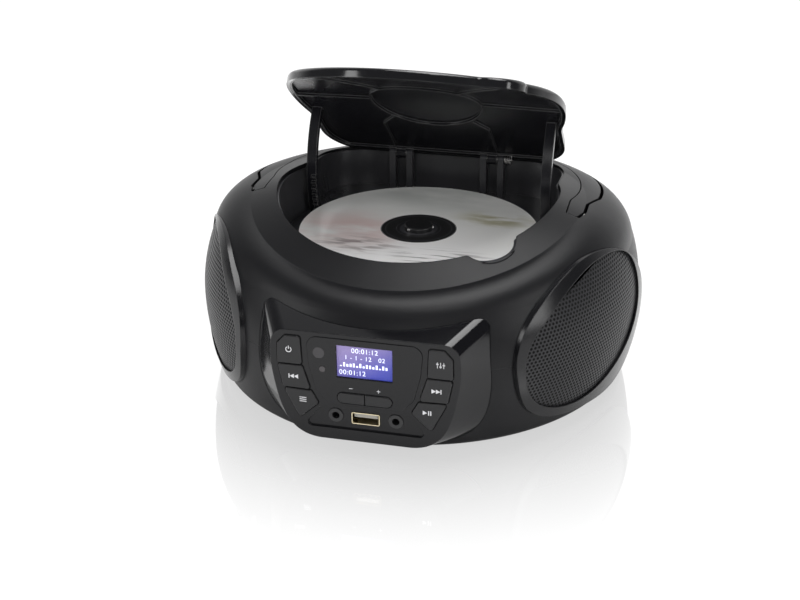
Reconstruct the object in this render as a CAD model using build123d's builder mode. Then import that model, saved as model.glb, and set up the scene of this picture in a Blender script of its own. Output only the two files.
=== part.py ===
"""Round portable cd radio with its lid open, millimetres, +Z up, front towards -Y.

The origin is the centre of the body's outline, on the surface that the feet stand on.
"""
import os
from math import atan2, cos, hypot, pi, radians, sin, sqrt, tan

from build123d import *

os.makedirs("parts", exist_ok=True)

# Driving dimensions of the body
WIDTH = 220.0
DEPTH = 232.0
BASE_WIDTH = 206.0
BASE_DEPTH = 212.0
BROW_WIDTH = 211.0
BROW_DEPTH = 215.0
FOOT_HEIGHT = 3.0
PARTING_Z = 45.0
BROW_Z = 71.0
WALL = 2.6
FLOOR = 2.5
BASE_ROUND = 4.0

# Disc, and the round well above it
DISC_RADIUS = 60.0
DISC_THICKNESS = 1.2
DISC_HOLE_RADIUS = 7.5
DISC_Z = 73.0
DISC_Y = -10.0
WELL_RADIUS = 69.0
WELL_WALL = 1.6
DECK_Z = 66.0
DECK_THICKNESS = 2.0
REAR_BAY_HALF = 65.0
REAR_BAY_REACH = 72.0
REAR_BAY_CORNER = 26.0

# The rim round the opening: its height falls away to the front and a little to the rear
RIM_RADIUS = 83.0
RIM_CREST_Z = 96.0
RIM_CREST_Y = -12.0
RIM_FRONT_SLOPE = 0.24
RIM_REAR_SLOPE = 0.10
RIM_BLEND = 15.0
RIM_DROP = 4.0
RIM_FRONT_DROP = 1.8
BROW_FRONT_DROP = 2.0
LIP_OVERHANG = 1.0
LIP_THICKNESS = 2.5

# Finger notch in the opening's front edge, and the lid's lobe that covers it
NOTCH_ANGLE = -47.6
NOTCH_REACH = 62.5
NOTCH_RADIUS = 13.5
WELL_CORNER = 3.0

# Clearances
SEAT_GAP = 0.3
LID_GAP = 0.7
SLIDE_GAP = 0.3
PIN_GAP = 0.06
MESH_GAP = 0.15

# Lid, drawn shut and then turned open about its hinge
LID_OPEN = 35.0
LID_RISE = 4.4
LID_SKIN = 1.8
LID_ROUND = 2.0
LID_HANG = 0.5
HINGE_Y = 57.0
HINGE_Z = 89.0
HINGE_PIN_RADIUS = 1.5
KNUCKLE_X = 25.0
KNUCKLE_WIDTH = 5.4
KNUCKLE_RADIUS = 2.8
POST_WIDTH = 3.4
RIB = 1.0
RING_RIB_RADIUS = 27.9

# Toothed arm of the lid and the damper gear that it turns
ARM_X = 59.55
ARM_THICKNESS = 2.5
ARM_FLANGE = 2.5
ARM_PITCH_RADIUS = 51.0
ARM_PITCH_TEETH = 102
ARM_TEETH = 13
ARM_DEPTH = 3.2
ARM_TOP_ANGLE = 9.0
GEAR_MODULE = 1.0
DAMPER_TEETH = 10
DAMPER_ANGLE = -38.0

# Handle
HANDLE_OUTER = 87.6
HANDLE_INNER = 78.0
HANDLE_Y = 9.5
HANDLE_CLEAR_OF_WELL = 6.8
HANDLE_PIVOT_Y = -13.0
HANDLE_PIVOT_Z = 87.5
HANDLE_NOSE = 12.5
HANDLE_EAR = 83.0
HANDLE_EAR_END = -8.0
HANDLE_EAR_BLEND = 12.0
HANDLE_GAP = 0.5
HANDLE_SLOT = 1.6
HANDLE_PIN_RADIUS = 1.6
HANDLE_PIN_END = 90.2
HANDLE_FLOOR_Z = 84.8
HANDLE_FLOOR_FALL = 8.3

# Speakers: each one faces this angle from the front
SPEAKER_ANGLE = 62.0
BEZEL_PROUD = 2.2
GRILLE_PROUD = 1.0
GRILLE_SKIN = 1.2
PLUG_BACK = 92.0
PLUG_WALL = 2.0
DRIVER_Z = 38.0
DRIVER_RADIUS = 30.0

# Front panel
PANEL_Y = -116.0
PANEL_SKIN = 2.5
PANEL_WALL = 1.2
PANEL_ROOT_Y = -96.0
PLATE_THICKNESS = 1.2
PLATE_PROUD = 0.3
KEY_PROUD = 0.8
KEY_TRAVEL = 0.7
KEY_FLANGE = 0.9
FLANGE_THICKNESS = 1.2
BOARD = 1.6
BOARD_Y = -108.0

# Rear flat with the antenna's channel
ANTENNA_Y = 104.0
ANTENNA_Z = 62.0
ANTENNA_X = -44.0
ANTENNA_SHAFT = 2.0
CHANNEL_Y = 100.5
CHANNEL_HALF = 58.0
CHANNEL_BOTTOM = 57.0

HUGE = 130.0


def save(piece, label):
    """Labels a finished piece and writes its STEP file."""
    piece.label = label
    export_step(piece, f"parts/{label}.step")


def body_half(z):
    """Half width and half depth of the body's outline at a height."""
    if z < PARTING_Z:
        share = ((PARTING_Z - z) / (PARTING_Z - FOOT_HEIGHT)) ** 2
        return (
            (WIDTH - (WIDTH - BASE_WIDTH) * share) / 2,
            (DEPTH - (DEPTH - BASE_DEPTH) * share) / 2,
        )
    share = ((z - PARTING_Z) / (BROW_Z - PARTING_Z)) ** 2
    return (
        (WIDTH - (WIDTH - BROW_WIDTH) * share) / 2,
        (DEPTH - (DEPTH - BROW_DEPTH) * share) / 2,
    )


def barrel(low, high, grow, steps=5):
    """Outline sections for a loft, one above another, each larger by grow."""
    sections = []
    for index in range(steps):
        z = low + (high - low) * index / (steps - 1)
        half_width, half_depth = body_half(z)
        with BuildSketch(Plane.XY.offset(z)) as outline:
            Ellipse(half_width + grow, half_depth + grow)
        sections.append(outline.sketch)
    return sections


def rim_z(y):
    """Height of the opening's edge at a distance in front of or behind the disc's axis."""
    ahead = y - RIM_CREST_Y
    mean = (RIM_FRONT_SLOPE - RIM_REAR_SLOPE) / 2
    bend = (RIM_FRONT_SLOPE + RIM_REAR_SLOPE) / 2
    return RIM_CREST_Z + mean * ahead - bend * (sqrt(ahead**2 + RIM_BLEND**2) - RIM_BLEND)


def reach(angle, half_width, half_depth):
    """Distance from the disc's axis to the body's outline along an angle."""
    along = (cos(radians(angle)), sin(radians(angle)))
    a = (along[0] / half_width) ** 2 + (along[1] / half_depth) ** 2
    b = 2 * DISC_Y * along[1] / half_depth**2
    c = (DISC_Y / half_depth) ** 2 - 1
    return (-b + sqrt(b * b - 4 * a * c)) / (2 * a)


def dome_section(angle, inset, foot_z):
    """One radial section of the upper casing: wall, brow, rolled shoulder and rim."""
    middle_z = (PARTING_Z + BROW_Z) / 2
    frontness = max(0.0, -sin(radians(angle))) ** 2
    brow_z = BROW_Z - BROW_FRONT_DROP * frontness
    wall = reach(angle, *body_half(foot_z)) - inset
    middle = reach(angle, *body_half(middle_z)) - inset
    brow = reach(angle, *body_half(BROW_Z)) - inset
    lip = rim_z(WELL_RADIUS * sin(radians(angle))) - inset
    rearness = max(0.0, sin(radians(angle)))
    drop = RIM_DROP * (1 - rearness) + RIM_FRONT_DROP * frontness
    rim = rim_z(RIM_RADIUS * sin(radians(angle))) - drop - inset
    chord = (brow - RIM_RADIUS, brow_z - rim)
    length = hypot(*chord)
    # The shoulder leaves the rim level and rolls over towards the brow
    bulge = length / 2 * tan(atan2(-chord[1], chord[0]) / 2)
    crest = (
        (brow + RIM_RADIUS) / 2 - bulge * chord[1] / length,
        (brow_z + rim) / 2 + bulge * chord[0] / length,
    )
    axis = (cos(radians(angle)), sin(radians(angle)), 0)
    side = (sin(radians(angle)), -cos(radians(angle)), 0)
    with BuildSketch(Plane(origin=(0, DISC_Y, 0), x_dir=axis, z_dir=side)) as section:
        with BuildLine():
            Line((WELL_RADIUS, foot_z), (wall, foot_z))
            ThreePointArc((wall, foot_z), (middle, middle_z), (brow, brow_z))
            ThreePointArc((brow, brow_z), crest, (RIM_RADIUS, rim))
            Line((RIM_RADIUS, rim), (WELL_RADIUS, lip))
            Line((WELL_RADIUS, lip), (WELL_RADIUS, foot_z))
        make_face()
    return section.sketch


def under_rim(offset):
    """Face in the YZ plane under the rim's line, shifted by offset."""
    stations = [-105, -75, -50, -25, 0, 25, 50, 75, 115]
    ends = (DISC_Y + stations[0], DISC_Y + stations[-1])
    with BuildSketch(Plane.YZ.offset(-HUGE)) as side_view:
        with BuildLine():
            crown = Spline(*[(DISC_Y + y, rim_z(y) + offset) for y in stations])
            Polyline(crown @ 1, (ends[1], 0), (ends[0], 0), crown @ 0)
        make_face()
    return side_view.sketch


def well_outline(grow, z=0.0):
    """Plan of the well, the finger notch and the hinge bay, larger by grow."""
    notch = (
        NOTCH_REACH * cos(radians(NOTCH_ANGLE)),
        NOTCH_REACH * sin(radians(NOTCH_ANGLE)) + DISC_Y,
    )
    with BuildSketch(Plane.XY.offset(z)) as plan:
        with Locations((0, DISC_Y)):
            Circle(WELL_RADIUS)
        with Locations(notch):
            Circle(NOTCH_RADIUS)
        with Locations((0, DISC_Y + REAR_BAY_REACH / 2)):
            Rectangle(2 * REAR_BAY_HALF, REAR_BAY_REACH)
        rear = plan.vertices().group_by(Axis.Y)[-1]
        fillet(rear, REAR_BAY_CORNER)
        joins = [
            corner
            for corner in plan.vertices()
            if corner.Y > DISC_Y + 1 and corner.Y < DISC_Y + REAR_BAY_REACH - REAR_BAY_CORNER - 1
        ]
        fillet(joins, REAR_BAY_CORNER)
        lobe = [corner for corner in plan.vertices() if corner.Y < DISC_Y - 1]
        fillet(lobe, WELL_CORNER)
        if grow:
            offset(amount=grow)
    return plan.sketch


def handle_outline(grow, slot):
    """Plan of the handle, larger by grow inwards and by slot outwards; its ears have flat sides."""
    ear_inner = WELL_RADIUS + HANDLE_CLEAR_OF_WELL - grow
    ear_outer = HANDLE_EAR + slot
    blend_end = HANDLE_EAR_END + HANDLE_EAR_BLEND
    with BuildSketch() as plan:
        with Locations((0, HANDLE_Y)):
            Circle(HANDLE_OUTER + slot)
            Circle(HANDLE_INNER - grow, mode=Mode.SUBTRACT)
        with Locations((0, DISC_Y)):
            Circle(ear_inner, mode=Mode.SUBTRACT)
        with Locations((0, (DISC_Y - WELL_RADIUS) / 2)):
            Rectangle(2 * ear_inner, WELL_RADIUS - DISC_Y, mode=Mode.SUBTRACT)
        for side in (1, -1):
            with BuildLine():
                Polyline(
                    (side * ear_outer, -WELL_RADIUS),
                    (side * ear_outer, HANDLE_EAR_END),
                    (side * (HANDLE_OUTER + slot), blend_end),
                    (side * WIDTH, blend_end),
                    (side * WIDTH, -WELL_RADIUS),
                    close=True,
                )
            make_face(mode=Mode.SUBTRACT)
    return plan.sketch


def handle_side(grow):
    """Side view of the space that the handle lies in: above its floor, behind its round nose."""
    top = RIM_CREST_Z + HANDLE_NOSE
    fall = radians(HANDLE_FLOOR_FALL)
    front = HANDLE_PIVOT_Y - HANDLE_NOSE - grow
    rear = HANDLE_Y + HANDLE_OUTER + 2 * HANDLE_SLOT
    with BuildSketch(Plane.YZ.offset(-HUGE)) as view:
        with BuildLine():
            Polyline(
                (HANDLE_PIVOT_Y, HANDLE_FLOOR_Z - grow),
                (rear, HANDLE_FLOOR_Z - grow - (rear - HANDLE_PIVOT_Y) * tan(fall)),
                (rear, top),
                (HANDLE_PIVOT_Y, top),
                (HANDLE_PIVOT_Y, HANDLE_FLOOR_Z - grow),
            )
        make_face()
        with BuildSketch(mode=Mode.PRIVATE) as nose:
            with Locations((HANDLE_PIVOT_Y, HANDLE_PIVOT_Z)):
                Circle(HANDLE_NOSE + grow)
        with BuildSketch(mode=Mode.PRIVATE) as above:
            with Locations(((front + HANDLE_PIVOT_Y) / 2, (HANDLE_FLOOR_Z + top) / 2)):
                Rectangle(HANDLE_PIVOT_Y - front + 1, top - HANDLE_FLOOR_Z)
        if grow:
            add(nose.sketch)
        else:
            add(nose.sketch.intersect(above.sketch))
    return view.sketch


def speaker_plane(distance):
    """Plane across a speaker's axis, with the plane's y along +Z."""
    turn = radians(SPEAKER_ANGLE)
    facing = (sin(turn), -cos(turn), 0)
    across = (cos(turn), sin(turn), 0)
    origin = (facing[0] * distance, facing[1] * distance, 0)
    return Plane(origin=origin, x_dir=across, z_dir=facing)


# Teardrops of the speaker's bezel and grille, across and up, seen along the speaker's axis
BEZEL_EDGE = [(-54, 42), (-38, 14.5), (-2, 8), (40, 15), (53, 46), (16, 81), (-36, 71)]
GRILLE_EDGE = [(-50, 42), (-39, 21), (-17, 14), (18, 23), (41, 47), (37, 69), (13, 79.5), (-36, 64)]


def grown(points, grow):
    """Points of a closed outline, moved away from their middle."""
    middle_t = sum(t for t, _ in points) / len(points)
    middle_z = sum(z for _, z in points) / len(points)
    moved = []
    for t, z in points:
        share = 1 + grow / hypot(t - middle_t, z - middle_z)
        moved.append((middle_t + (t - middle_t) * share, middle_z + (z - middle_z) * share))
    return moved


def teardrop(points, grow, distance):
    """Closed smooth outline of a bezel or grille on a plane across the speaker's axis."""
    with BuildSketch(speaker_plane(distance)) as outline:
        with BuildLine():
            Spline(*grown(points, grow), periodic=True)
        make_face()
    return outline.sketch


def panel_outline(corners, y):
    """Outline of the front panel at a depth: level top and foot between two curved sides."""
    with BuildSketch(Plane(origin=(0, y, 0), x_dir=(1, 0, 0), z_dir=(0, -1, 0))) as outline:
        with BuildLine():
            right = Spline(*corners)
            left = Spline(*[(-x, z) for x, z in corners])
            Line(right @ 0, left @ 0)
            Line(right @ 1, left @ 1)
        make_face()
        fillet(outline.vertices().group_by(Axis.Z)[-1], PANEL_CORNER)
    return outline.sketch


PANEL_FACE = [(42.0, 62.8), (43.8, 50.0), (41.8, 34.0), (34.5, 15.5), (21.0, 9.5)]
PANEL_ROOT = [(51.0, 68.5), (56.5, 54.0), (57.5, 34.0), (48.5, 12.5), (25.0, 5.5)]
PANEL_CORNER = 7.0


def inset(corners, amount):
    """Corners drawn in towards the middle of the panel."""
    middle = (corners[0][1] + corners[-1][1]) / 2
    return [(x - amount, z - amount if z > middle else z + amount) for x, z in corners]


# Front panel: a bevelled block set into the casing, hollow behind
with BuildPart() as panel_form:
    loft(
        sections=[panel_outline(PANEL_ROOT, PANEL_ROOT_Y), panel_outline(PANEL_FACE, PANEL_Y)],
        ruled=True,
    )

# Lower housing: a barrel-shaped bowl with the battery bay in its floor
BAY_HALF = 50.0
BAY_FRONT = 12.0
BAY_REAR = 66.0
BAY_TOP = 33.0
BAY_WALL = 2.0
DOOR_THICKNESS = 2.2
DOOR_PIN_Y = BAY_REAR - 1.6
DOOR_PIN_Z = FOOT_HEIGHT + 1.3
DOOR_PIN_RADIUS = 0.8
BAY_Y = (BAY_FRONT + BAY_REAR) / 2
BAY_LENGTH = BAY_REAR - BAY_FRONT
INLET_Z = 26.0
INLET_WIDTH = 18.0
INLET_HEIGHT = 10.0
inner_low = FOOT_HEIGHT + FLOOR
with BuildPart() as lower_housing:
    loft(sections=barrel(FOOT_HEIGHT, PARTING_Z, 0))
    fillet(lower_housing.edges().group_by(Axis.Z)[0], BASE_ROUND)
    loft(sections=barrel(inner_low, PARTING_Z + 1, -WALL), mode=Mode.SUBTRACT)
    with BuildSketch(Plane.XY.offset(FOOT_HEIGHT)):
        with Locations((0, BAY_Y)):
            Rectangle(2 * (BAY_HALF + BAY_WALL), BAY_LENGTH + 2 * BAY_WALL)
    extrude(amount=BAY_TOP + BAY_WALL - FOOT_HEIGHT)
    with BuildSketch(Plane.XY.offset(FOOT_HEIGHT)):
        with Locations((0, BAY_Y)):
            Rectangle(2 * BAY_HALF, BAY_LENGTH)
    extrude(amount=BAY_TOP - FOOT_HEIGHT, mode=Mode.SUBTRACT)
    with BuildSketch(Plane.YZ):
        with Locations((DOOR_PIN_Y, DOOR_PIN_Z)):
            Circle(DOOR_PIN_RADIUS + PIN_GAP)
    extrude(amount=BAY_HALF + BAY_WALL, both=True, mode=Mode.SUBTRACT)
    for side in (1, -1):
        opening = extrude(teardrop(BEZEL_EDGE, 0, PLUG_BACK - 2), HUGE - PLUG_BACK, mode=Mode.PRIVATE)
        add(opening if side > 0 else opening.mirror(Plane.YZ), mode=Mode.SUBTRACT)
    add(panel_form.part, mode=Mode.SUBTRACT)
    extrude(panel_outline(PANEL_FACE, PANEL_Y), 1, mode=Mode.SUBTRACT)
    with BuildSketch(Plane.XZ.offset(-HUGE)):
        with Locations((0, INLET_Z)):
            SlotOverall(INLET_WIDTH, INLET_HEIGHT)
    extrude(amount=30, mode=Mode.SUBTRACT)
save(lower_housing.part, "lower_housing")

# Space inside the upper casing, less the blocks that stay solid
SWEEP = range(-105, 106, 15)
pocket_x = WELL_RADIUS + HANDLE_CLEAR_OF_WELL
CAVITY_TOP = 64.0
FRONT_ANGLES = (-105, -90, -75, -60, -45, -32, -20)
with BuildPart() as upper_space:
    loft(sections=barrel(PARTING_Z - 1, CAVITY_TOP, -WALL))
    with BuildSketch(Plane.XY.offset(CAVITY_TOP + HUGE)):
        with Locations((0, CHANNEL_Y + HUGE / 2 - WALL)):
            Rectangle(2 * (CHANNEL_HALF + WALL), HUGE)
    extrude(amount=-(CAVITY_TOP + HUGE - CHANNEL_BOTTOM + WALL), mode=Mode.SUBTRACT)
with BuildPart() as front_space:
    loft(sections=[dome_section(angle, WALL, PARTING_Z) for angle in FRONT_ANGLES])
    split(bisect_by=Plane.YZ, keep=Keep.TOP)
    mirror(about=Plane.YZ)

# Upper housing: dished shoulder round the well, with the handle's recess and pockets
with BuildPart() as upper_form:
    loft(sections=[dome_section(angle, 0, PARTING_Z) for angle in SWEEP])
    split(bisect_by=Plane.YZ, keep=Keep.TOP)
    mirror(about=Plane.YZ)
with BuildPart() as handle_bed:
    extrude(handle_outline(HANDLE_GAP, HANDLE_SLOT), HUGE)
    extrude(handle_side(HANDLE_GAP), 2 * HUGE, mode=Mode.INTERSECT)
with BuildPart() as well_bore:
    extrude(well_outline(WELL_WALL + SEAT_GAP, PARTING_Z - 1), HUGE)
    extrude(under_rim(-LIP_THICKNESS), 2 * HUGE, mode=Mode.INTERSECT)
with BuildPart() as upper_housing:
    add(upper_form.part)
    add(upper_space.part, mode=Mode.SUBTRACT)
    add(front_space.part, mode=Mode.SUBTRACT)
    add(well_bore.part, mode=Mode.SUBTRACT)
    extrude(well_outline(LIP_OVERHANG, PARTING_Z), HUGE, mode=Mode.SUBTRACT)
    add(handle_bed.part, mode=Mode.SUBTRACT)
    for side in (1, -1):
        with BuildSketch(Plane.YZ.offset(side * pocket_x)):
            with Locations((HANDLE_PIVOT_Y, HANDLE_PIVOT_Z)):
                Circle(HANDLE_PIN_RADIUS + PIN_GAP)
        extrude(amount=side * (HANDLE_PIN_END - pocket_x), mode=Mode.SUBTRACT)
        opening = extrude(teardrop(BEZEL_EDGE, 0, PLUG_BACK - 2), HUGE - PLUG_BACK, mode=Mode.PRIVATE)
        add(opening if side > 0 else opening.mirror(Plane.YZ), mode=Mode.SUBTRACT)
    add(panel_form.part, mode=Mode.SUBTRACT)
    extrude(panel_outline(PANEL_FACE, PANEL_Y), 1, mode=Mode.SUBTRACT)
    with BuildSketch(Plane.XY.offset(CHANNEL_BOTTOM)):
        with Locations((0, CHANNEL_Y + HUGE / 2)):
            Rectangle(2 * CHANNEL_HALF, HUGE)
    extrude(amount=HUGE, mode=Mode.SUBTRACT)
    with BuildSketch(Plane.XZ.offset(-CHANNEL_Y - 1)):
        with Locations((ANTENNA_X, ANTENNA_Z)):
            Circle(ANTENNA_SHAFT + PIN_GAP)
    extrude(amount=11, mode=Mode.SUBTRACT)
print("upper housing", upper_housing.part.volume, len(upper_housing.part.solids()))
save(upper_housing.part, "upper_housing")

# Handle: cut from the same shoulder, so that it lies flush
with BuildPart() as handle:
    add(upper_form.part)
    extrude(handle_outline(0, 0), HUGE, mode=Mode.INTERSECT)
    extrude(handle_side(0), 2 * HUGE, mode=Mode.INTERSECT)
    with BuildSketch(Plane.YZ):
        with Locations((HANDLE_PIVOT_Y, HANDLE_PIVOT_Z)):
            Circle(HANDLE_PIN_RADIUS + PIN_GAP)
    extrude(amount=HUGE, both=True, mode=Mode.SUBTRACT)
print("handle", handle.part.volume, len(handle.part.solids()))
save(handle.part, "handle")

# Deck under the disc: a tub with hinge posts, slots for the lid's arms and a window for the lens
POST_HALF = 2.4
ARM_SLOT_FRONT = 8.6
ARM_SLOT_REAR = 18.4
post_offset = KNUCKLE_WIDTH / 2 + SEAT_GAP + POST_WIDTH / 2
post_centres = [side * KNUCKLE_X + step for side in (1, -1) for step in (post_offset, -post_offset)]
deck_top = DECK_Z + DECK_THICKNESS
LENS_REST_Y = 15.0
SLED_TRAVEL = 33.0
LENS_RADIUS = 4.5
with BuildPart() as cd_deck:
    extrude(well_outline(WELL_WALL, DECK_Z), HUGE)
    extrude(under_rim(-LIP_THICKNESS), 2 * HUGE, mode=Mode.INTERSECT)
    extrude(well_outline(0, deck_top), HUGE, mode=Mode.SUBTRACT)
    for x in post_centres:
        with BuildSketch(Plane.YZ.offset(x - POST_WIDTH / 2)):
            with Locations((HINGE_Y, HINGE_Z)):
                Circle(POST_HALF)
            with Locations((HINGE_Y, (HINGE_Z + deck_top) / 2)):
                Rectangle(2 * POST_HALF, HINGE_Z - deck_top)
            with Locations((HINGE_Y, HINGE_Z)):
                Circle(HINGE_PIN_RADIUS, mode=Mode.SUBTRACT)
        extrude(amount=POST_WIDTH)
    slot_y = (ARM_SLOT_FRONT + ARM_SLOT_REAR) / 2
    slot_length = ARM_SLOT_REAR - ARM_SLOT_FRONT
    with BuildSketch(Plane.XY.offset(DECK_Z)):
        for side in (1, -1):
            with Locations((side * (ARM_X + ARM_FLANGE / 2), slot_y)):
                Rectangle(ARM_THICKNESS + ARM_FLANGE + 4 * SEAT_GAP, slot_length)
        with Locations((0, LENS_REST_Y + SLED_TRAVEL / 2)):
            SlotCenterToCenter(SLED_TRAVEL, 2 * (LENS_RADIUS + 1.5), rotation=90)
        with Locations((0, DISC_Y)):
            Circle(4)
    extrude(amount=DECK_THICKNESS, mode=Mode.SUBTRACT)
save(cd_deck.part, "cd_deck")

# Pins of the lid and the handle
with BuildPart() as hinge_pins:
    for side in (1, -1):
        with BuildSketch(Plane.YZ.offset(side * KNUCKLE_X - post_offset - POST_WIDTH / 2)):
            with Locations((HINGE_Y, HINGE_Z)):
                Circle(HINGE_PIN_RADIUS)
        extrude(amount=2 * post_offset + POST_WIDTH)
        with BuildSketch(Plane.YZ.offset(side * pocket_x)):
            with Locations((HANDLE_PIVOT_Y, HANDLE_PIVOT_Z)):
                Circle(HANDLE_PIN_RADIUS)
        extrude(amount=side * (HANDLE_PIN_END - pocket_x))
save(hinge_pins.part, "hinge_pins")

# Lid, drawn shut: an outer skin with a rolled edge over an inner lid with its ribs and arms
lid_grow = LIP_OVERHANG - LID_GAP
lid_rear = HINGE_Y + 2.3
RIB_UNDERSIDE = -LID_HANG
PLATE_UNDERSIDE = 0.9
hinge_axis = Axis((0, HINGE_Y, HINGE_Z), (-1, 0, 0))


def behind(y):
    """Cuts away everything behind a plane in the open part."""
    with Locations((0, y + HUGE / 2, HUGE / 2)):
        Box(HUGE, HUGE, 2 * HUGE, mode=Mode.SUBTRACT)


def lid_slab(shrink, top, bottom):
    """Slab of the lid between two offsets from the rim's line."""
    with BuildPart() as slab:
        extrude(well_outline(lid_grow - shrink), HUGE)
        extrude(under_rim(top), 2 * HUGE, mode=Mode.INTERSECT)
        extrude(under_rim(bottom), 2 * HUGE, mode=Mode.SUBTRACT)
        if shrink:
            behind(lid_rear - shrink)
    return slab.part


def bar(start, end, width):
    """Places a straight bar between two points in the open sketch."""
    length = hypot(end[0] - start[0], end[1] - start[1])
    turn = atan2(end[1] - start[1], end[0] - start[0]) * 180 / pi
    with Locations(((start[0] + end[0]) / 2, (start[1] + end[1]) / 2)):
        Rectangle(length, width, rotation=turn)


def tooth(pitch_radius, base_radius, tip_radius, root_radius, angle, half=0.66):
    """Outline of one gear tooth with involute flanks about its own centre."""
    flank = []
    rolled = sqrt((pitch_radius / base_radius) ** 2 - 1)
    start = rolled - atan2(rolled, 1)
    for step in range(5):
        radius = root_radius - 0.3 + (tip_radius - root_radius + 0.3) * step / 4
        rolled = sqrt(max(0, (radius / base_radius) ** 2 - 1))
        spread = half / pitch_radius + start - (rolled - atan2(rolled, 1))
        flank.append((radius, min(spread, half / pitch_radius + start)))
    near = [(r * cos(angle - a), r * sin(angle - a)) for r, a in flank]
    far = [(r * cos(angle + a), r * sin(angle + a)) for r, a in reversed(flank)]
    return near + far


PRESSURE = cos(radians(20))
TOOTH_TIP = 0.75
TOOTH_ROOT = 1.05


def arm(teeth):
    """Side view of an arm: an arc about the hinge, with teeth on its outer side."""
    root = ARM_PITCH_RADIUS - TOOTH_ROOT
    inner = root - ARM_DEPTH
    pitch = 2 * pi / ARM_PITCH_TEETH
    first = radians(DAMPER_ANGLE - LID_OPEN)
    low = first - 1.5 * pitch
    high = radians(ARM_TOP_ANGLE)
    middle = (low + high) / 2

    def spot(radius, angle):
        return (HINGE_Y - radius * cos(angle), HINGE_Z + radius * sin(angle))

    with BuildSketch(Plane.YZ.offset(-ARM_THICKNESS / 2)) as view:
        with BuildLine():
            ThreePointArc(spot(root, low), spot(root, middle), spot(root, high))
            Line(spot(root, high), spot(inner, high))
            ThreePointArc(spot(inner, high), spot(inner, middle), spot(inner, low))
            Line(spot(inner, low), spot(root, low))
        make_face()
        if teeth:
            for index in range(-1, ARM_TEETH - 1):
                outline = tooth(
                    ARM_PITCH_RADIUS,
                    ARM_PITCH_RADIUS * PRESSURE,
                    ARM_PITCH_RADIUS + TOOTH_TIP,
                    root,
                    first + index * pitch,
                )
                with BuildLine():
                    Polyline(*[(HINGE_Y - a, HINGE_Z + b) for a, b in outline], close=True)
                make_face()
    return view.sketch


# Ribs on the inner lid, one side, as they lie when the lid is shut
RIB_RUNS = [
    ((19.6, -31.0), (31.8, -45.0)),
    ((31.8, -45.0), (44.0, -60.0)),
    ((28.0, -12.0), (67.0, -10.0)),
    ((20.4, 11.0), (27.5, 20.6)),
    ((27.5, 20.6), (27.8, 50.0)),
]
SPRING_X = KNUCKLE_X + post_offset + POST_WIDTH / 2 + 0.5
SPRING_WIRE = 0.4
SPRING_COIL = 2.0
SPRING_LENGTH = 3.3
hinge_zones = [(x - POST_WIDTH / 2 - SEAT_GAP, POST_WIDTH + 2 * SEAT_GAP) for x in post_centres]
hinge_zones.append((SPRING_X - 0.6, SPRING_LENGTH + 1.2))
knuckle_zones = [(side * KNUCKLE_X - post_offset, 2 * post_offset) for side in (1, -1)]
with BuildPart() as lid_outer:
    add(lid_slab(0, LID_RISE, RIB_UNDERSIDE))
    top_edges = lid_outer.faces().sort_by(Axis.Z)[-1].edges()
    fillet(top_edges, LID_ROUND)
    behind(lid_rear)
    add(lid_slab(LID_SKIN, LID_RISE - LID_SKIN, RIB_UNDERSIDE - 1), mode=Mode.SUBTRACT)
    for start, length in hinge_zones + knuckle_zones:
        with BuildSketch(Plane.YZ.offset(start)):
            with Locations((HINGE_Y, HINGE_Z)):
                Circle(KNUCKLE_RADIUS + SEAT_GAP)
        extrude(amount=length, mode=Mode.SUBTRACT)
print("lid outer", lid_outer.part.volume, len(lid_outer.part.solids()))

with BuildPart() as lid_inner:
    add(lid_slab(LID_SKIN, LID_RISE - LID_SKIN, RIB_UNDERSIDE))
    with BuildSketch(mode=Mode.PRIVATE) as ribs:
        with Locations((0, DISC_Y)):
            Circle(RING_RIB_RADIUS + RIB / 2)
            Circle(RING_RIB_RADIUS - RIB / 2, mode=Mode.SUBTRACT)
        for start, end in RIB_RUNS:
            bar(start, end, RIB)
            bar((-start[0], start[1]), (-end[0], end[1]), RIB)
    with BuildSketch(mode=Mode.PRIVATE) as pocket:
        add(well_outline(lid_grow - LID_SKIN - RIB))
        add(ribs.sketch, mode=Mode.SUBTRACT)
    with BuildPart(mode=Mode.PRIVATE) as hollow:
        extrude(pocket.sketch, HUGE)
        extrude(under_rim(PLATE_UNDERSIDE), 2 * HUGE, mode=Mode.INTERSECT)
        behind(HINGE_Y - KNUCKLE_RADIUS)
    add(hollow.part, mode=Mode.SUBTRACT)
    for side in (1, -1):
        with BuildSketch(Plane.YZ.offset(side * KNUCKLE_X - KNUCKLE_WIDTH / 2)):
            with Locations((HINGE_Y, HINGE_Z)):
                Circle(KNUCKLE_RADIUS)
        extrude(amount=KNUCKLE_WIDTH)
        sector = extrude(arm(side < 0), ARM_THICKNESS, mode=Mode.PRIVATE)
        flange = extrude(arm(False), ARM_FLANGE, mode=Mode.PRIVATE)
        flange_x = ARM_X + ARM_THICKNESS if side > 0 else -ARM_X - ARM_FLANGE
        with BuildPart(mode=Mode.PRIVATE) as hanger:
            add(sector.moved(Location((side * ARM_X, 0, 0))))
            add(flange.moved(Location((flange_x, 0, 0))))
            extrude(under_rim(LID_RISE - LID_SKIN), 2 * HUGE, mode=Mode.INTERSECT)
        add(hanger.part)
    for start, length in hinge_zones:
        with BuildSketch(Plane.YZ.offset(start)):
            with Locations((HINGE_Y, HINGE_Z)):
                Circle(KNUCKLE_RADIUS + SEAT_GAP)
        extrude(amount=length, mode=Mode.SUBTRACT)
    with BuildSketch(Plane.YZ):
        with Locations((HINGE_Y, HINGE_Z)):
            Circle(HINGE_PIN_RADIUS + PIN_GAP)
    extrude(amount=HUGE, both=True, mode=Mode.SUBTRACT)
print("lid inner", lid_inner.part.volume, len(lid_inner.part.solids()))
save(lid_outer.part.rotate(hinge_axis, LID_OPEN), "lid_outer")
save(lid_inner.part.rotate(hinge_axis, LID_OPEN), "lid_inner")

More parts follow.
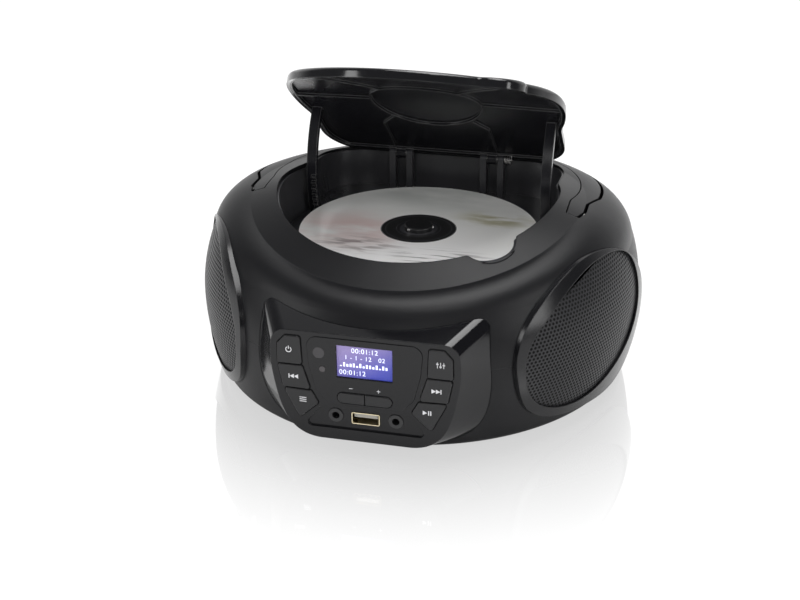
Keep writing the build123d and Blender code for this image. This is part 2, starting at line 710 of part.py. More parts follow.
# Damper: a ten-toothed gear, turned by the toothed arm, on a sealed body under the deck
GEAR_WIDTH = 3.0
DAMPER_RADIUS = 7.5
damper_reach = ARM_PITCH_RADIUS + GEAR_MODULE * DAMPER_TEETH / 2 + MESH_GAP
damper_y = HINGE_Y - damper_reach * cos(radians(DAMPER_ANGLE))
damper_z = HINGE_Z + damper_reach * sin(radians(DAMPER_ANGLE))


def gear(teeth, phase, bore):
    """Outline of a small gear with its bore."""
    pitch = GEAR_MODULE * teeth / 2
    root = pitch - TOOTH_ROOT
    with BuildSketch(mode=Mode.PRIVATE) as outline:
        Circle(root)
        for index in range(teeth):
            angle = phase + 2 * pi * index / teeth
            flanks = tooth(pitch, pitch * PRESSURE, pitch + TOOTH_TIP, root, angle)
            with BuildLine():
                Polyline(*flanks, close=True)
            make_face()
        Circle(bore, mode=Mode.SUBTRACT)
    return outline.sketch


shaft_radius = 1.2
gear_plane = Plane(origin=(-ARM_X - GEAR_WIDTH / 2, damper_y, damper_z), x_dir=(0, 1, 0), z_dir=(1, 0, 0))
half_space = pi / DAMPER_TEETH
with BuildPart() as damper_gear:
    with BuildSketch(gear_plane):
        add(gear(DAMPER_TEETH, -radians(DAMPER_ANGLE) + half_space, shaft_radius + PIN_GAP))
    extrude(amount=GEAR_WIDTH)
save(damper_gear.part, "damper_gear")

body_start = -ARM_X + GEAR_WIDTH / 2 + SEAT_GAP
with BuildPart() as damper_body:
    with BuildSketch(Plane.YZ.offset(body_start)):
        with Locations((damper_y, damper_z)):
            Circle(DAMPER_RADIUS)
    extrude(amount=7)
    with BuildSketch(Plane.YZ.offset(-ARM_X - GEAR_WIDTH / 2 - 1)):
        with Locations((damper_y, damper_z)):
            Circle(shaft_radius)
    extrude(amount=GEAR_WIDTH + 2)
    with BuildSketch(Plane.YZ.offset(body_start + 3)):
        with Locations((damper_y, (damper_z + DECK_Z) / 2)):
            Rectangle(12, DECK_Z - damper_z)
    extrude(amount=2)
    with Locations((body_start + 5, damper_y, DECK_Z - 1)):
        Box(9, 16, 2)
save(damper_body.part, "damper_body")

# Spring of the lid: one leg on a post, one under the lid's plate, wound round the pin's end
with BuildPart() as lid_spring:
    with BuildLine() as coil:
        Helix(
            pitch=SPRING_LENGTH / 3,
            height=SPRING_LENGTH,
            radius=SPRING_COIL,
            center=(SPRING_X, HINGE_Y, HINGE_Z),
            direction=(1, 0, 0),
        )
    with BuildSketch(Plane(origin=coil.line @ 0, z_dir=coil.line % 0)):
        RegularPolygon(SPRING_WIRE, 6)
    sweep(is_frenet=True)
save(lid_spring.part, "lid_spring")

# Front panel: skin with openings for the keys, the plate and the sockets
KEYS = {
    "equaliser_key": [(29.5, 60.2), (36.4, 60.2), (40.2, 56.0), (40.4, 46.3), (28.9, 46.3)],
    "next_key": [(28.8, 45.8), (40.3, 45.8), (38.1, 34.5), (25.2, 34.1)],
    "play_key": [(24.9, 33.6), (37.9, 34.0), (30.6, 19.3), (21.6, 27.6)],
}
MIRRORED = {"equaliser_key": "power_key", "next_key": "previous_key", "play_key": "menu_key"}
KEY_CORNER = 1.2
PLATE_EDGE = [(27.0, 60.7), (25.6, 46.0), (22.6, 34.0), (17.0, 27.7)]
PLATE_CORNER = 5.0
WINDOW_WIDTH = 25.8
WINDOW_HEIGHT = 16.0
WINDOW_Z = 49.7
REMOTE_SPOT = (-21.0, 52.9)
REMOTE_RADIUS = 2.7
STATUS_SPOT = (-19.4, 45.0)
STATUS_RADIUS = 1.4
VOLUME_Z = 31.6
VOLUME_HALF = 12.6
VOLUME_HEIGHT = 5.2
RECESS_EDGE = [(21.0, 25.8), (29.4, 15.2)]
RECESS_DEPTH = 1.0
USB_Z = 21.2
USB_WIDTH = 13.1
USB_HEIGHT = 5.8
JACK_X = 14.0
JACK_Z = 21.6
JACK_RING = 3.4
JACK_BORE = 1.75
JACK_DEPTH = 14.0
BOARD_EDGE = [(37.0, 61.0), (37.5, 42.0), (33.0, 27.6)]
skin_back = PANEL_Y + PANEL_SKIN
plate_front = PANEL_Y - PLATE_PROUD
plate_back = plate_front + PLATE_THICKNESS
recess_y = PANEL_Y + RECESS_DEPTH


def facing(y):
    """Plane across the panel at a depth, its normal towards the user."""
    return Plane(origin=(0, y, 0), x_dir=(1, 0, 0), z_dir=(0, -1, 0))


def cushion(corners, corner_radius, grow=0.0):
    """Polygon with rounded corners, grown outwards."""
    with BuildSketch(mode=Mode.PRIVATE) as outline:
        with BuildLine():
            Polyline(*corners, close=True)
        make_face()
        fillet(outline.vertices(), corner_radius)
        if grow:
            offset(amount=grow)
    return outline.sketch


def mirrored_outline(corners):
    """Corners of a symmetric outline from its right-hand side."""
    return list(corners) + [(-x, z) for x, z in reversed(corners)]


with BuildSketch(mode=Mode.PRIVATE) as key_holes:
    for corners in KEYS.values():
        add(cushion(corners, KEY_CORNER, SLIDE_GAP))
        add(cushion([(-x, z) for x, z in corners], KEY_CORNER, SLIDE_GAP))
with BuildSketch(mode=Mode.PRIVATE) as plate_holes:
    with Locations((0, WINDOW_Z)):
        Rectangle(WINDOW_WIDTH, WINDOW_HEIGHT)
    with Locations(REMOTE_SPOT):
        Circle(REMOTE_RADIUS)
    with Locations(STATUS_SPOT):
        Circle(STATUS_RADIUS)
with BuildSketch(mode=Mode.PRIVATE) as volume_hole:
    with Locations((0, VOLUME_Z)):
        SlotOverall(2 * (VOLUME_HALF + SLIDE_GAP), VOLUME_HEIGHT + 2 * SLIDE_GAP)
with BuildSketch(mode=Mode.PRIVATE) as socket_holes:
    with Locations((JACK_X, JACK_Z), (-JACK_X, JACK_Z)):
        Circle(JACK_RING)
    with Locations((0, USB_Z)):
        RectangleRounded(USB_WIDTH, USB_HEIGHT, 0.8)
plate_shape = cushion(mirrored_outline(PLATE_EDGE), PLATE_CORNER)
recess_shape = cushion(mirrored_outline(RECESS_EDGE), 2)
BOARD_POSTS = [(19.0, 59.5), (-19.0, 59.5), (17.0, 38.2), (-17.0, 38.2)]
with BuildPart() as front_bezel:
    add(panel_form.part)
    loft(
        sections=[
            panel_outline(inset(PANEL_ROOT, PANEL_WALL), PANEL_ROOT_Y),
            panel_outline(inset(PANEL_FACE, PANEL_WALL), skin_back),
        ],
        ruled=True,
        mode=Mode.SUBTRACT,
    )
    for depth, shape in (
        (PANEL_SKIN + 1, key_holes.sketch),
        (PANEL_SKIN + 1, plate_holes.sketch),
        (PANEL_SKIN + 1, volume_hole.sketch),
        (PANEL_SKIN + 1, socket_holes.sketch),
        (plate_back - PANEL_Y, plate_shape),
        (RECESS_DEPTH, recess_shape),
    ):
        with BuildSketch(facing(PANEL_Y)):
            add(shape)
        extrude(amount=-depth, mode=Mode.SUBTRACT)
    with BuildSketch(facing(BOARD_Y)):
        with Locations(*BOARD_POSTS):
            Circle(1.5)
    extrude(amount=skin_back * -1 + BOARD_Y)
print("front bezel", front_bezel.part.volume, len(front_bezel.part.solids()))
save(front_bezel.part, "front_bezel")

with BuildPart() as display_plate:
    with BuildSketch(facing(plate_back)):
        add(plate_shape)
        add(plate_holes.sketch, mode=Mode.SUBTRACT)
        add(volume_hole.sketch, mode=Mode.SUBTRACT)
    extrude(amount=PLATE_THICKNESS)
save(display_plate.part, "display_plate")

with BuildPart() as display_window:
    with BuildSketch(facing(plate_back)):
        with Locations((0, WINDOW_Z)):
            Rectangle(WINDOW_WIDTH, WINDOW_HEIGHT)
    extrude(amount=PLATE_THICKNESS)
save(display_window.part, "display_window")

with BuildPart() as display_module:
    with BuildSketch(facing(BOARD_Y)):
        with Locations((0, WINDOW_Z)):
            Rectangle(WINDOW_WIDTH, WINDOW_HEIGHT)
    extrude(amount=BOARD_Y - plate_back)
save(display_module.part, "display_module")

with BuildPart() as remote_window:
    with BuildSketch(facing(BOARD_Y)):
        with Locations(REMOTE_SPOT):
            Circle(REMOTE_RADIUS)
    extrude(amount=BOARD_Y - plate_front)
save(remote_window.part, "remote_window")

with BuildPart() as status_light:
    with BuildSketch(facing(BOARD_Y)):
        with Locations(STATUS_SPOT):
            Circle(STATUS_RADIUS)
    extrude(amount=BOARD_Y - plate_front + 0.2)
save(status_light.part, "status_light")

# Keys: a face through the skin, a wider flange behind it and a stem towards the board's switch
SWITCH_HEIGHT = 1.2
stem_end = BOARD_Y - SWITCH_HEIGHT - KEY_TRAVEL - SEAT_GAP
flange_front = skin_back + SEAT_GAP


def key_part(face, flange, spot):
    """One key from its face outline, its flange outline and its stem's spot."""
    with BuildPart() as key:
        with BuildSketch(facing(flange_front)):
            add(face)
        extrude(amount=flange_front - PANEL_Y + KEY_PROUD)
        fillet(key.faces().sort_by(Axis.Y)[0].edges(), 0.4)
        with BuildSketch(facing(flange_front + FLANGE_THICKNESS)):
            add(flange)
        extrude(amount=FLANGE_THICKNESS)
        with BuildSketch(facing(stem_end)):
            with Locations(spot):
                Circle(1.6)
        extrude(amount=stem_end - flange_front)
    return key.part


key_spots = []
for label, corners in KEYS.items():
    middle = (sum(x for x, _ in corners) / len(corners), sum(z for _, z in corners) / len(corners))
    wide = [(x - (KEY_FLANGE if x < middle[0] else 0), z) for x, z in corners]
    for side, name in ((1, label), (-1, MIRRORED[label])):
        face = cushion([(side * x, z) for x, z in corners], KEY_CORNER)
        flange = cushion([(side * x, z) for x, z in wide], KEY_CORNER)
        spot = (side * middle[0], middle[1])
        key_spots.append(spot)
        save(key_part(face, flange, spot), name)

for side, name in ((1, "volume_up_key"), (-1, "volume_down_key")):
    halves = []
    for grow in (0, KEY_FLANGE):
        with BuildSketch(mode=Mode.PRIVATE) as half:
            with Locations((0, VOLUME_Z)):
                SlotOverall(2 * (VOLUME_HALF + grow), VOLUME_HEIGHT + 2 * grow)
            with Locations((side * (0.2 + HUGE / 2), VOLUME_Z)):
                Rectangle(HUGE, HUGE, mode=Mode.INTERSECT)
        halves.append(half.sketch)
    spot = (side * VOLUME_HALF / 2, VOLUME_Z)
    key_spots.append(spot)
    save(key_part(halves[0], halves[1], spot), name)

with BuildPart() as key_board:
    with BuildSketch(facing(BOARD_Y + BOARD)):
        add(cushion(mirrored_outline(BOARD_EDGE), 1))
    extrude(amount=BOARD)
    with BuildSketch(facing(BOARD_Y)):
        with Locations(*[spot for spot in key_spots if spot[1] > BOARD_EDGE[-1][1] + 1]):
            Circle(2)
    extrude(amount=SWITCH_HEIGHT)
save(key_board.part, "key_board")

# Sockets
for side, name in ((1, "headphone_jack"), (-1, "line_in_jack")):
    with BuildPart() as jack:
        with BuildSketch(facing(skin_back)):
            with Locations((side * JACK_X, JACK_Z)):
                Circle(JACK_RING)
        extrude(amount=skin_back - recess_y + 0.4)
        with Locations((side * JACK_X, skin_back + 6, JACK_Z)):
            Box(8.4, 12, 7.6)
        with BuildSketch(facing(recess_y - 0.4)):
            with Locations((side * JACK_X, JACK_Z)):
                Circle(JACK_BORE)
        extrude(amount=-JACK_DEPTH, mode=Mode.SUBTRACT)
    save(jack.part, name)

SHELL_WALL = 0.4
USB_DEPTH = 14.0
with BuildPart() as usb_shell:
    with BuildSketch(facing(recess_y - 0.4)):
        with Locations((0, USB_Z)):
            RectangleRounded(USB_WIDTH, USB_HEIGHT, 0.8)
    extrude(amount=-USB_DEPTH)
    with BuildSketch(facing(recess_y - 0.4)):
        with Locations((0, USB_Z)):
            Rectangle(USB_WIDTH - 2 * SHELL_WALL, USB_HEIGHT - 2 * SHELL_WALL)
    extrude(amount=-USB_DEPTH + SHELL_WALL, mode=Mode.SUBTRACT)
save(usb_shell.part, "usb_shell")

with BuildPart() as usb_tongue:
    tongue_back = recess_y - 0.4 + USB_DEPTH - SHELL_WALL
    with Locations((0, tongue_back - 1, USB_Z)):
        Box(USB_WIDTH - 2 * SHELL_WALL, 2, USB_HEIGHT - 2 * SHELL_WALL)
    with Locations((0, (recess_y + 0.6 + tongue_back) / 2, USB_Z + 1.1)):
        Box(10.8, tongue_back - recess_y - 0.6, 1.8)
save(usb_tongue.part, "usb_tongue")

# Speakers: a bezel with a tub behind it, a perforated grille and a driver screwed to the tub
HOLE_PITCH = 7.2
HOLE_RADIUS = 1.7
GRILLE_MARGIN = 3.2
BASKET_DEPTH = 16.0
MAGNET_RADIUS = 19.0
MAGNET_LENGTH = 11.0
DRIVER_T = -3.0
bezel_bottom = 6.0
bezel_top = 84.0
driver_spot = (DRIVER_T, DRIVER_Z)


def driver_disc(distance, radius):
    """Circle across the driver's axis at a distance."""
    with BuildSketch(speaker_plane(distance)) as disc_face:
        with Locations(driver_spot):
            Circle(radius)
    return disc_face.sketch


with BuildPart() as speaker_bezel:
    extrude(teardrop(BEZEL_EDGE, 0, PLUG_BACK), HUGE - PLUG_BACK)
    loft(sections=barrel(bezel_bottom, bezel_top, BEZEL_PROUD), mode=Mode.INTERSECT)
    with BuildPart(mode=Mode.PRIVATE) as tub:
        extrude(teardrop(BEZEL_EDGE, -PLUG_WALL, PLUG_BACK + PLUG_WALL), HUGE - PLUG_BACK)
        loft(sections=barrel(bezel_bottom, bezel_top, -WALL), mode=Mode.INTERSECT)
    add(tub.part, mode=Mode.SUBTRACT)
    extrude(teardrop(GRILLE_EDGE, 0, PLUG_BACK + PLUG_WALL), HUGE - PLUG_BACK, mode=Mode.SUBTRACT)
    extrude(driver_disc(PLUG_BACK - 1, DRIVER_RADIUS - 3), 4, mode=Mode.SUBTRACT)
print("bezel", speaker_bezel.part.volume, len(speaker_bezel.part.solids()))

columns = range(-7, 8)
rows = range(-5, 7)
centre_t = (min(t for t, _ in GRILLE_EDGE) + max(t for t, _ in GRILLE_EDGE)) / 2
grid = [
    (centre_t + (column + 0.5 * (row % 2)) * HOLE_PITCH, DRIVER_Z + row * HOLE_PITCH * 0.866)
    for row in rows
    for column in columns
]
with BuildPart() as grille:
    extrude(teardrop(GRILLE_EDGE, 0, PLUG_BACK), HUGE - PLUG_BACK)
    loft(sections=barrel(bezel_bottom, bezel_top, GRILLE_PROUD), mode=Mode.INTERSECT)
    loft(sections=barrel(bezel_bottom, bezel_top, GRILLE_PROUD - GRILLE_SKIN), mode=Mode.SUBTRACT)
    with BuildSketch(speaker_plane(PLUG_BACK)) as perforation:
        with Locations(*grid):
            RegularPolygon(HOLE_RADIUS, 6)
        with BuildSketch(mode=Mode.PRIVATE) as limit:
            with BuildLine():
                Spline(*grown(GRILLE_EDGE, -GRILLE_MARGIN), periodic=True)
            make_face()
        add(limit.sketch, mode=Mode.INTERSECT)
    whole = [hole for hole in perforation.sketch.faces() if hole.area > 2.59 * HOLE_RADIUS**2]
    extrude(Sketch(whole), HUGE - PLUG_BACK, mode=Mode.SUBTRACT)
print("grille", grille.part.volume, len(grille.part.solids()), len(whole))

with BuildPart() as speaker_frame:
    extrude(driver_disc(PLUG_BACK - 2, DRIVER_RADIUS), 2)
    loft(
        sections=[
            driver_disc(PLUG_BACK - 2, DRIVER_RADIUS - 3),
            driver_disc(PLUG_BACK - BASKET_DEPTH, MAGNET_RADIUS - 3),
        ]
    )
    loft(
        sections=[
            driver_disc(PLUG_BACK - 2, DRIVER_RADIUS - 4.2),
            driver_disc(PLUG_BACK - BASKET_DEPTH + 1.5, MAGNET_RADIUS - 4.2),
        ],
        mode=Mode.SUBTRACT,
    )
    extrude(driver_disc(PLUG_BACK - 2, DRIVER_RADIUS - 4.2), 2, mode=Mode.SUBTRACT)

with BuildPart() as speaker_cone:
    extrude(driver_disc(PLUG_BACK - 1.4, DRIVER_RADIUS - 4.2), 1.4)
    loft(
        sections=[
            driver_disc(PLUG_BACK - 1.4, DRIVER_RADIUS - 7),
            driver_disc(PLUG_BACK - 10, 8),
        ]
    )
    loft(
        sections=[
            driver_disc(PLUG_BACK, DRIVER_RADIUS - 7.4),
            driver_disc(PLUG_BACK - 8.8, 7),
        ],
        mode=Mode.SUBTRACT,
    )
    extrude(driver_disc(PLUG_BACK - BASKET_DEPTH + 1.5, 7), BASKET_DEPTH - 10)

with BuildPart() as magnet:
    extrude(driver_disc(PLUG_BACK - BASKET_DEPTH - MAGNET_LENGTH, MAGNET_RADIUS), MAGNET_LENGTH)

for label, piece in (
    ("speaker_bezel", speaker_bezel),
    ("grille", grille),
    ("speaker_frame", speaker_frame),
    ("speaker_cone", speaker_cone),
    ("magnet", magnet),
):
    save(piece.part, f"{label}_right")
    save(piece.part.mirror(Plane.YZ), f"{label}_left")

# Disc drive: turntable with a clamping hub, motor, chassis, and a sled on two rods
PLATTER_RADIUS = 16.0
PLATTER_BOTTOM = 68.6
HUB_TOP = 75.5
SHAFT_RADIUS = 1.0
CHASSIS_Z = 57.0
CHASSIS_THICKNESS = 2.0
MOTOR_RADIUS = 12.0
MOTOR_BOTTOM = 41.5
disc_bottom = DISC_Z - DISC_THICKNESS
BALL_RADIUS = 1.0
BALL_GAP = 0.05
with BuildPart() as hub_balls:
    with Locations((0, DISC_Y, DISC_Z + BALL_RADIUS + 0.1)):
        with PolarLocations(DISC_HOLE_RADIUS - 0.6, 3):
            Sphere(BALL_RADIUS)
save(hub_balls.part, "hub_balls")

with BuildPart() as turntable:
    with Locations((0, DISC_Y, (PLATTER_BOTTOM + disc_bottom) / 2)):
        Cylinder(PLATTER_RADIUS, disc_bottom - PLATTER_BOTTOM)
    with BuildSketch(Plane.XY.offset(disc_bottom)):
        with Locations((0, DISC_Y)):
            Circle(DISC_HOLE_RADIUS - 0.1)
    extrude(amount=HUB_TOP - disc_bottom)
    fillet(turntable.faces().sort_by(Axis.Z)[-1].edges(), 1.2)
    with Locations((0, DISC_Y, (CHASSIS_Z - 4 + PLATTER_BOTTOM) / 2)):
        Cylinder(SHAFT_RADIUS, PLATTER_BOTTOM - CHASSIS_Z + 4)
    with Locations((0, DISC_Y, DISC_Z + BALL_RADIUS + 0.1)):
        with PolarLocations(DISC_HOLE_RADIUS - 0.6, 3):
            Sphere(BALL_RADIUS + BALL_GAP, rotation=(0, 0, 180), mode=Mode.SUBTRACT)
save(turntable.part, "turntable")

with BuildPart() as disc:
    with BuildSketch(Plane.XY.offset(disc_bottom)):
        with Locations((0, DISC_Y)):
            Circle(DISC_RADIUS)
            Circle(DISC_HOLE_RADIUS, mode=Mode.SUBTRACT)
    extrude(amount=DISC_THICKNESS)
save(disc.part, "disc")

with BuildPart() as spindle_motor:
    with Locations((0, DISC_Y, (MOTOR_BOTTOM + CHASSIS_Z) / 2)):
        Cylinder(MOTOR_RADIUS, CHASSIS_Z - MOTOR_BOTTOM)
    with Locations((0, DISC_Y, CHASSIS_Z - 5)):
        Cylinder(SHAFT_RADIUS + PIN_GAP, 10, mode=Mode.SUBTRACT)
save(spindle_motor.part, "spindle_motor")

ROD_X = 14.0
ROD_Z = 62.0
ROD_RADIUS = 1.5
ROD_FRONT = 4.0
ROD_REAR = 61.0
SLED_HALF = 6.0
RACK_X = -20.0
RACK_HALF = 20.0
PINION_TEETH = 12
PINION_Y = 31.5
pinion_x = RACK_X - GEAR_MODULE * PINION_TEETH / 2 - MESH_GAP
chassis_top = CHASSIS_Z + CHASSIS_THICKNESS
MOUNTS = [(38.0, -34.0), (-38.0, -34.0), (38.0, 44.0), (-38.0, 44.0)]
MOUNT_RADIUS = 4.0
with BuildPart() as mechanism_frame:
    with BuildSketch(Plane.XY.offset(CHASSIS_Z)):
        with Locations((0, 11)):
            RectangleRounded(88, 102, 6)
        with Locations((0, DISC_Y)):
            Circle(3, mode=Mode.SUBTRACT)
        with Locations((0, LENS_REST_Y + SLED_TRAVEL / 2)):
            Rectangle(18, 40, mode=Mode.SUBTRACT)
    extrude(amount=CHASSIS_THICKNESS)
    for x in (ROD_X, -ROD_X):
        for y in (ROD_FRONT + 1.5, ROD_REAR - 1.5):
            with Locations((x, y, (chassis_top + ROD_Z + 2.4) / 2)):
                Box(5.4, 3, ROD_Z + 2.4 - chassis_top)
        with BuildSketch(Plane.XZ.offset(-HUGE)):
            with Locations((x, ROD_Z)):
                Circle(ROD_RADIUS)
        extrude(amount=2 * HUGE, mode=Mode.SUBTRACT)
    with BuildSketch(Plane.XY.offset(chassis_top)):
        with Locations((pinion_x, PINION_Y)):
            Circle(ROD_RADIUS)
    extrude(amount=5)
save(mechanism_frame.part, "mechanism_frame")

with BuildPart() as sled_rods:
    for x in (ROD_X, -ROD_X):
        with BuildSketch(Plane.XZ.offset(-ROD_REAR)):
            with Locations((x, ROD_Z)):
                Circle(ROD_RADIUS)
        extrude(amount=ROD_REAR - ROD_FRONT)
save(sled_rods.part, "sled_rods")

RACK_BOTTOM = 60.0
RACK_TOP = 62.8
rack_pitch = pi * GEAR_MODULE
with BuildPart() as laser_sled:
    with Locations((0, LENS_REST_Y, ROD_Z)):
        Box(2 * ROD_X, 2 * SLED_HALF, 4.8)
    for x in (ROD_X, -ROD_X):
        with BuildSketch(Plane.XZ.offset(-LENS_REST_Y - SLED_HALF)):
            with Locations((x, ROD_Z)):
                Circle(2.4)
        extrude(amount=2 * SLED_HALF)
    with BuildSketch(Plane.XY.offset(RACK_BOTTOM)):
        with Locations((RACK_X + TOOTH_ROOT + 0.9, LENS_REST_Y)):
            Rectangle(1.8, 2 * RACK_HALF)
        with Locations(((RACK_X - ROD_X) / 2 + 0.5, LENS_REST_Y)):
            Rectangle(4, 2 * SLED_HALF)
    extrude(amount=RACK_TOP - RACK_BOTTOM)
    with BuildSketch(Plane.XY.offset(RACK_BOTTOM)):
        for index in range(-6, 7):
            y = PINION_Y + (index - 5) * rack_pitch
            with BuildLine():
                Polyline(
                    (RACK_X + TOOTH_ROOT + 0.2, y - 1.07),
                    (RACK_X - TOOTH_TIP, y - 0.39),
                    (RACK_X - TOOTH_TIP, y + 0.39),
                    (RACK_X + TOOTH_ROOT + 0.2, y + 1.07),
                    close=True,
                )
            make_face()
    extrude(amount=RACK_TOP - RACK_BOTTOM)
    with Locations((0, LENS_REST_Y, (ROD_Z + 2.4 + PLATTER_BOTTOM) / 2)):
        Cylinder(LENS_RADIUS, PLATTER_BOTTOM - ROD_Z - 2.4)
    for x in (ROD_X, -ROD_X):
        with BuildSketch(Plane.XZ.offset(-HUGE)):
            with Locations((x, ROD_Z)):
                Circle(ROD_RADIUS + PIN_GAP)
        extrude(amount=2 * HUGE, mode=Mode.SUBTRACT)
print("sled", laser_sled.part.volume, len(laser_sled.part.solids()))
save(laser_sled.part, "laser_sled")

with BuildPart() as laser_lens:
    with BuildSketch(Plane.XY.offset(PLATTER_BOTTOM)):
        with Locations((0, LENS_REST_Y)):
            Circle(2.6)
    extrude(amount=1)
    fillet(laser_lens.faces().sort_by(Axis.Z)[-1].edges(), 0.8)
save(laser_lens.part, "laser_lens")

with BuildPart() as sled_gear:
    with BuildSketch(Plane(origin=(pinion_x, PINION_Y, RACK_BOTTOM), x_dir=(1, 0, 0), z_dir=(0, 0, 1))):
        add(gear(PINION_TEETH, pi / PINION_TEETH, ROD_RADIUS + PIN_GAP))
    extrude(amount=RACK_TOP - RACK_BOTTOM)
save(sled_gear.part, "sled_gear")

with BuildPart() as rubber_mounts:
    with BuildSketch(Plane.XY.offset(chassis_top)):
        with Locations(*MOUNTS):
            Circle(MOUNT_RADIUS)
    extrude(amount=DECK_Z - chassis_top)
save(rubber_mounts.part, "rubber_mounts")

# Battery bay: door with its pin, contacts and springs
DOOR_GAP = 0.4
DOOR_ROUND = 1.3
with BuildPart() as battery_door:
    door_length = DOOR_PIN_Y - BAY_FRONT - DOOR_GAP
    with Locations((0, DOOR_PIN_Y - door_length / 2, FOOT_HEIGHT + DOOR_THICKNESS / 2)):
        Box(2 * (BAY_HALF - DOOR_GAP), door_length, DOOR_THICKNESS)
    with BuildSketch(Plane.YZ.offset(-BAY_HALF + DOOR_GAP)):
        with Locations((DOOR_PIN_Y, DOOR_PIN_Z)):
            Circle(DOOR_ROUND)
    extrude(amount=2 * (BAY_HALF - DOOR_GAP))
    with BuildSketch(Plane.YZ.offset(-BAY_HALF - BAY_WALL + 0.2)):
        with Locations((DOOR_PIN_Y, DOOR_PIN_Z)):
            Circle(DOOR_PIN_RADIUS)
    extrude(amount=2 * (BAY_HALF + BAY_WALL - 0.2))
    with Locations((0, BAY_FRONT + 7, FOOT_HEIGHT)):
        with GridLocations(3, 0, 7, 1):
            Box(1.4, 9, 1, mode=Mode.SUBTRACT)
save(battery_door.part, "battery_door")

CELL_Z = 20.0
cell_rows = [BAY_FRONT + 14, BAY_REAR - 14]
CONTACT = 0.6
with BuildPart() as battery_contacts:
    for side in (1, -1):
        for y in cell_rows:
            with Locations((side * (BAY_HALF - CONTACT / 2), y, CELL_Z)):
                Box(CONTACT, 16, 16)
save(battery_contacts.part, "battery_contacts")
with BuildPart() as battery_springs:
    for side, y in ((1, cell_rows[0]), (-1, cell_rows[1])):
        start = side * (BAY_HALF - CONTACT)
        for turn in range(3):
            with BuildSketch(Plane.YZ.offset(start - side * 2 * turn)):
                with Locations((y, CELL_Z)):
                    Circle(6 - 1.2 * turn)
                    Circle(5 - 1.2 * turn, mode=Mode.SUBTRACT)
            extrude(amount=-side * 2)
save(battery_springs.part, "battery_springs")

# Boards and mains parts
MAIN_BOARD_Z = 38.0
with BuildPart() as main_board:
    with Locations((0, 43, MAIN_BOARD_Z + BOARD / 2)):
        Box(92, 54, BOARD)
    with Locations((-12, 45, MAIN_BOARD_Z + BOARD + 1.5)):
        Box(16, 16, 3)
    with Locations((18, 34, MAIN_BOARD_Z + BOARD + 3)):
        Box(10, 24, 6)
    with Locations((36, 56, MAIN_BOARD_Z + BOARD + 4), (-36, 30, MAIN_BOARD_Z + BOARD + 4)):
        Cylinder(4, 8)
    with Locations((0, 43, (BAY_TOP + BAY_WALL + MAIN_BOARD_Z) / 2)):
        with GridLocations(84, 44, 2, 2):
            Cylinder(2.5, MAIN_BOARD_Z - BAY_TOP - BAY_WALL)
save(main_board.part, "main_board")

TRANSFORMER_X = -72.0
TRANSFORMER_Y = 30.0
with BuildPart() as transformer:
    with Locations((TRANSFORMER_X, TRANSFORMER_Y, inner_low + 13)):
        Box(26, 32, 26)
        Box(18, 40, 18)
save(transformer.part, "transformer")

INLET_FACE = 112.4
with BuildPart() as mains_inlet:
    with BuildSketch(Plane.XZ.offset(-INLET_FACE)):
        with Locations((0, INLET_Z)):
            SlotOverall(INLET_WIDTH, INLET_HEIGHT)
    extrude(amount=18)
    with BuildSketch(Plane.XZ.offset(-INLET_FACE)):
        with Locations((0, INLET_Z)):
            SlotOverall(INLET_WIDTH - 3, INLET_HEIGHT - 3)
    extrude(amount=14, mode=Mode.SUBTRACT)
    with BuildSketch(Plane.XZ.offset(-INLET_FACE + 14)):
        with Locations((-4.3, INLET_Z), (4.3, INLET_Z)):
            Circle(1.2)
    extrude(amount=-11)
save(mains_inlet.part, "mains_inlet")

# Rubber feet
FOOT_X = 66.0
FOOT_Y = 62.0
with BuildPart() as feet:
    with BuildSketch():
        with GridLocations(2 * FOOT_X, 2 * FOOT_Y, 2, 2):
            Circle(7)
    extrude(amount=FOOT_HEIGHT)
    fillet(feet.faces().sort_by(Axis.Z)[0:4].edges(), 0.8)
save(feet.part, "feet")

# Antenna: knuckle in the rear channel and three telescoping sections
ANTENNA_LENGTH = 88.0
TUBE_RADII = (2.5, 2.0, 1.5)
TUBE_WALL = 0.43
KNUCKLE_NECK = 6.0
knuckle_front = CHANNEL_Y + SEAT_GAP + 0.2
with BuildPart() as antenna_knuckle:
    with BuildSketch(Plane.XZ.offset(-knuckle_front)):
        with Locations((ANTENNA_X, ANTENNA_Z)):
            Circle(4.4)
    extrude(amount=-6.4)
    with BuildSketch(Plane.YZ.offset(ANTENNA_X)):
        with Locations((ANTENNA_Y, ANTENNA_Z)):
            Circle(TUBE_RADII[0])
    extrude(amount=KNUCKLE_NECK)
    with BuildSketch(Plane.XZ.offset(-CHANNEL_Y + 8)):
        with Locations((ANTENNA_X, ANTENNA_Z)):
            Circle(ANTENNA_SHAFT)
    extrude(amount=-8 - SEAT_GAP - 0.2)
save(antenna_knuckle.part, "antenna_knuckle")
tube_start = ANTENNA_X + KNUCKLE_NECK
tube_spots = ((0, 0, "antenna_outer"), (1.5, 1.0, "antenna_middle"), (3.0, 2.0, "antenna_tip"))
for (start, past, label), radius in zip(tube_spots, TUBE_RADII):
    with BuildPart() as tube:
        with BuildSketch(Plane.YZ.offset(tube_start + start)):
            with Locations((ANTENNA_Y, ANTENNA_Z)):
                Circle(radius)
                if label != "antenna_tip":
                    Circle(radius - TUBE_WALL, mode=Mode.SUBTRACT)
        extrude(amount=ANTENNA_LENGTH - start + past)
        if label == "antenna_tip":
            with Locations((tube_start + ANTENNA_LENGTH + past + 2, ANTENNA_Y, ANTENNA_Z)):
                Cylinder(2.6, 4, rotation=(0, 90, 0))
    save(tube.part, label)
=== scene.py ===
# %% [markdown]
# # A round portable cd radio
# The radio is a barrel of charcoal plastic with a disc well on top, a polished key panel in
# front and a perforated loudspeaker at each side. Every moulded piece already has its right
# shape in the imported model, so this lesson dresses them: it makes finishes from shader nodes,
# adds what is printed or perforated, and lights the radio on a pale table.

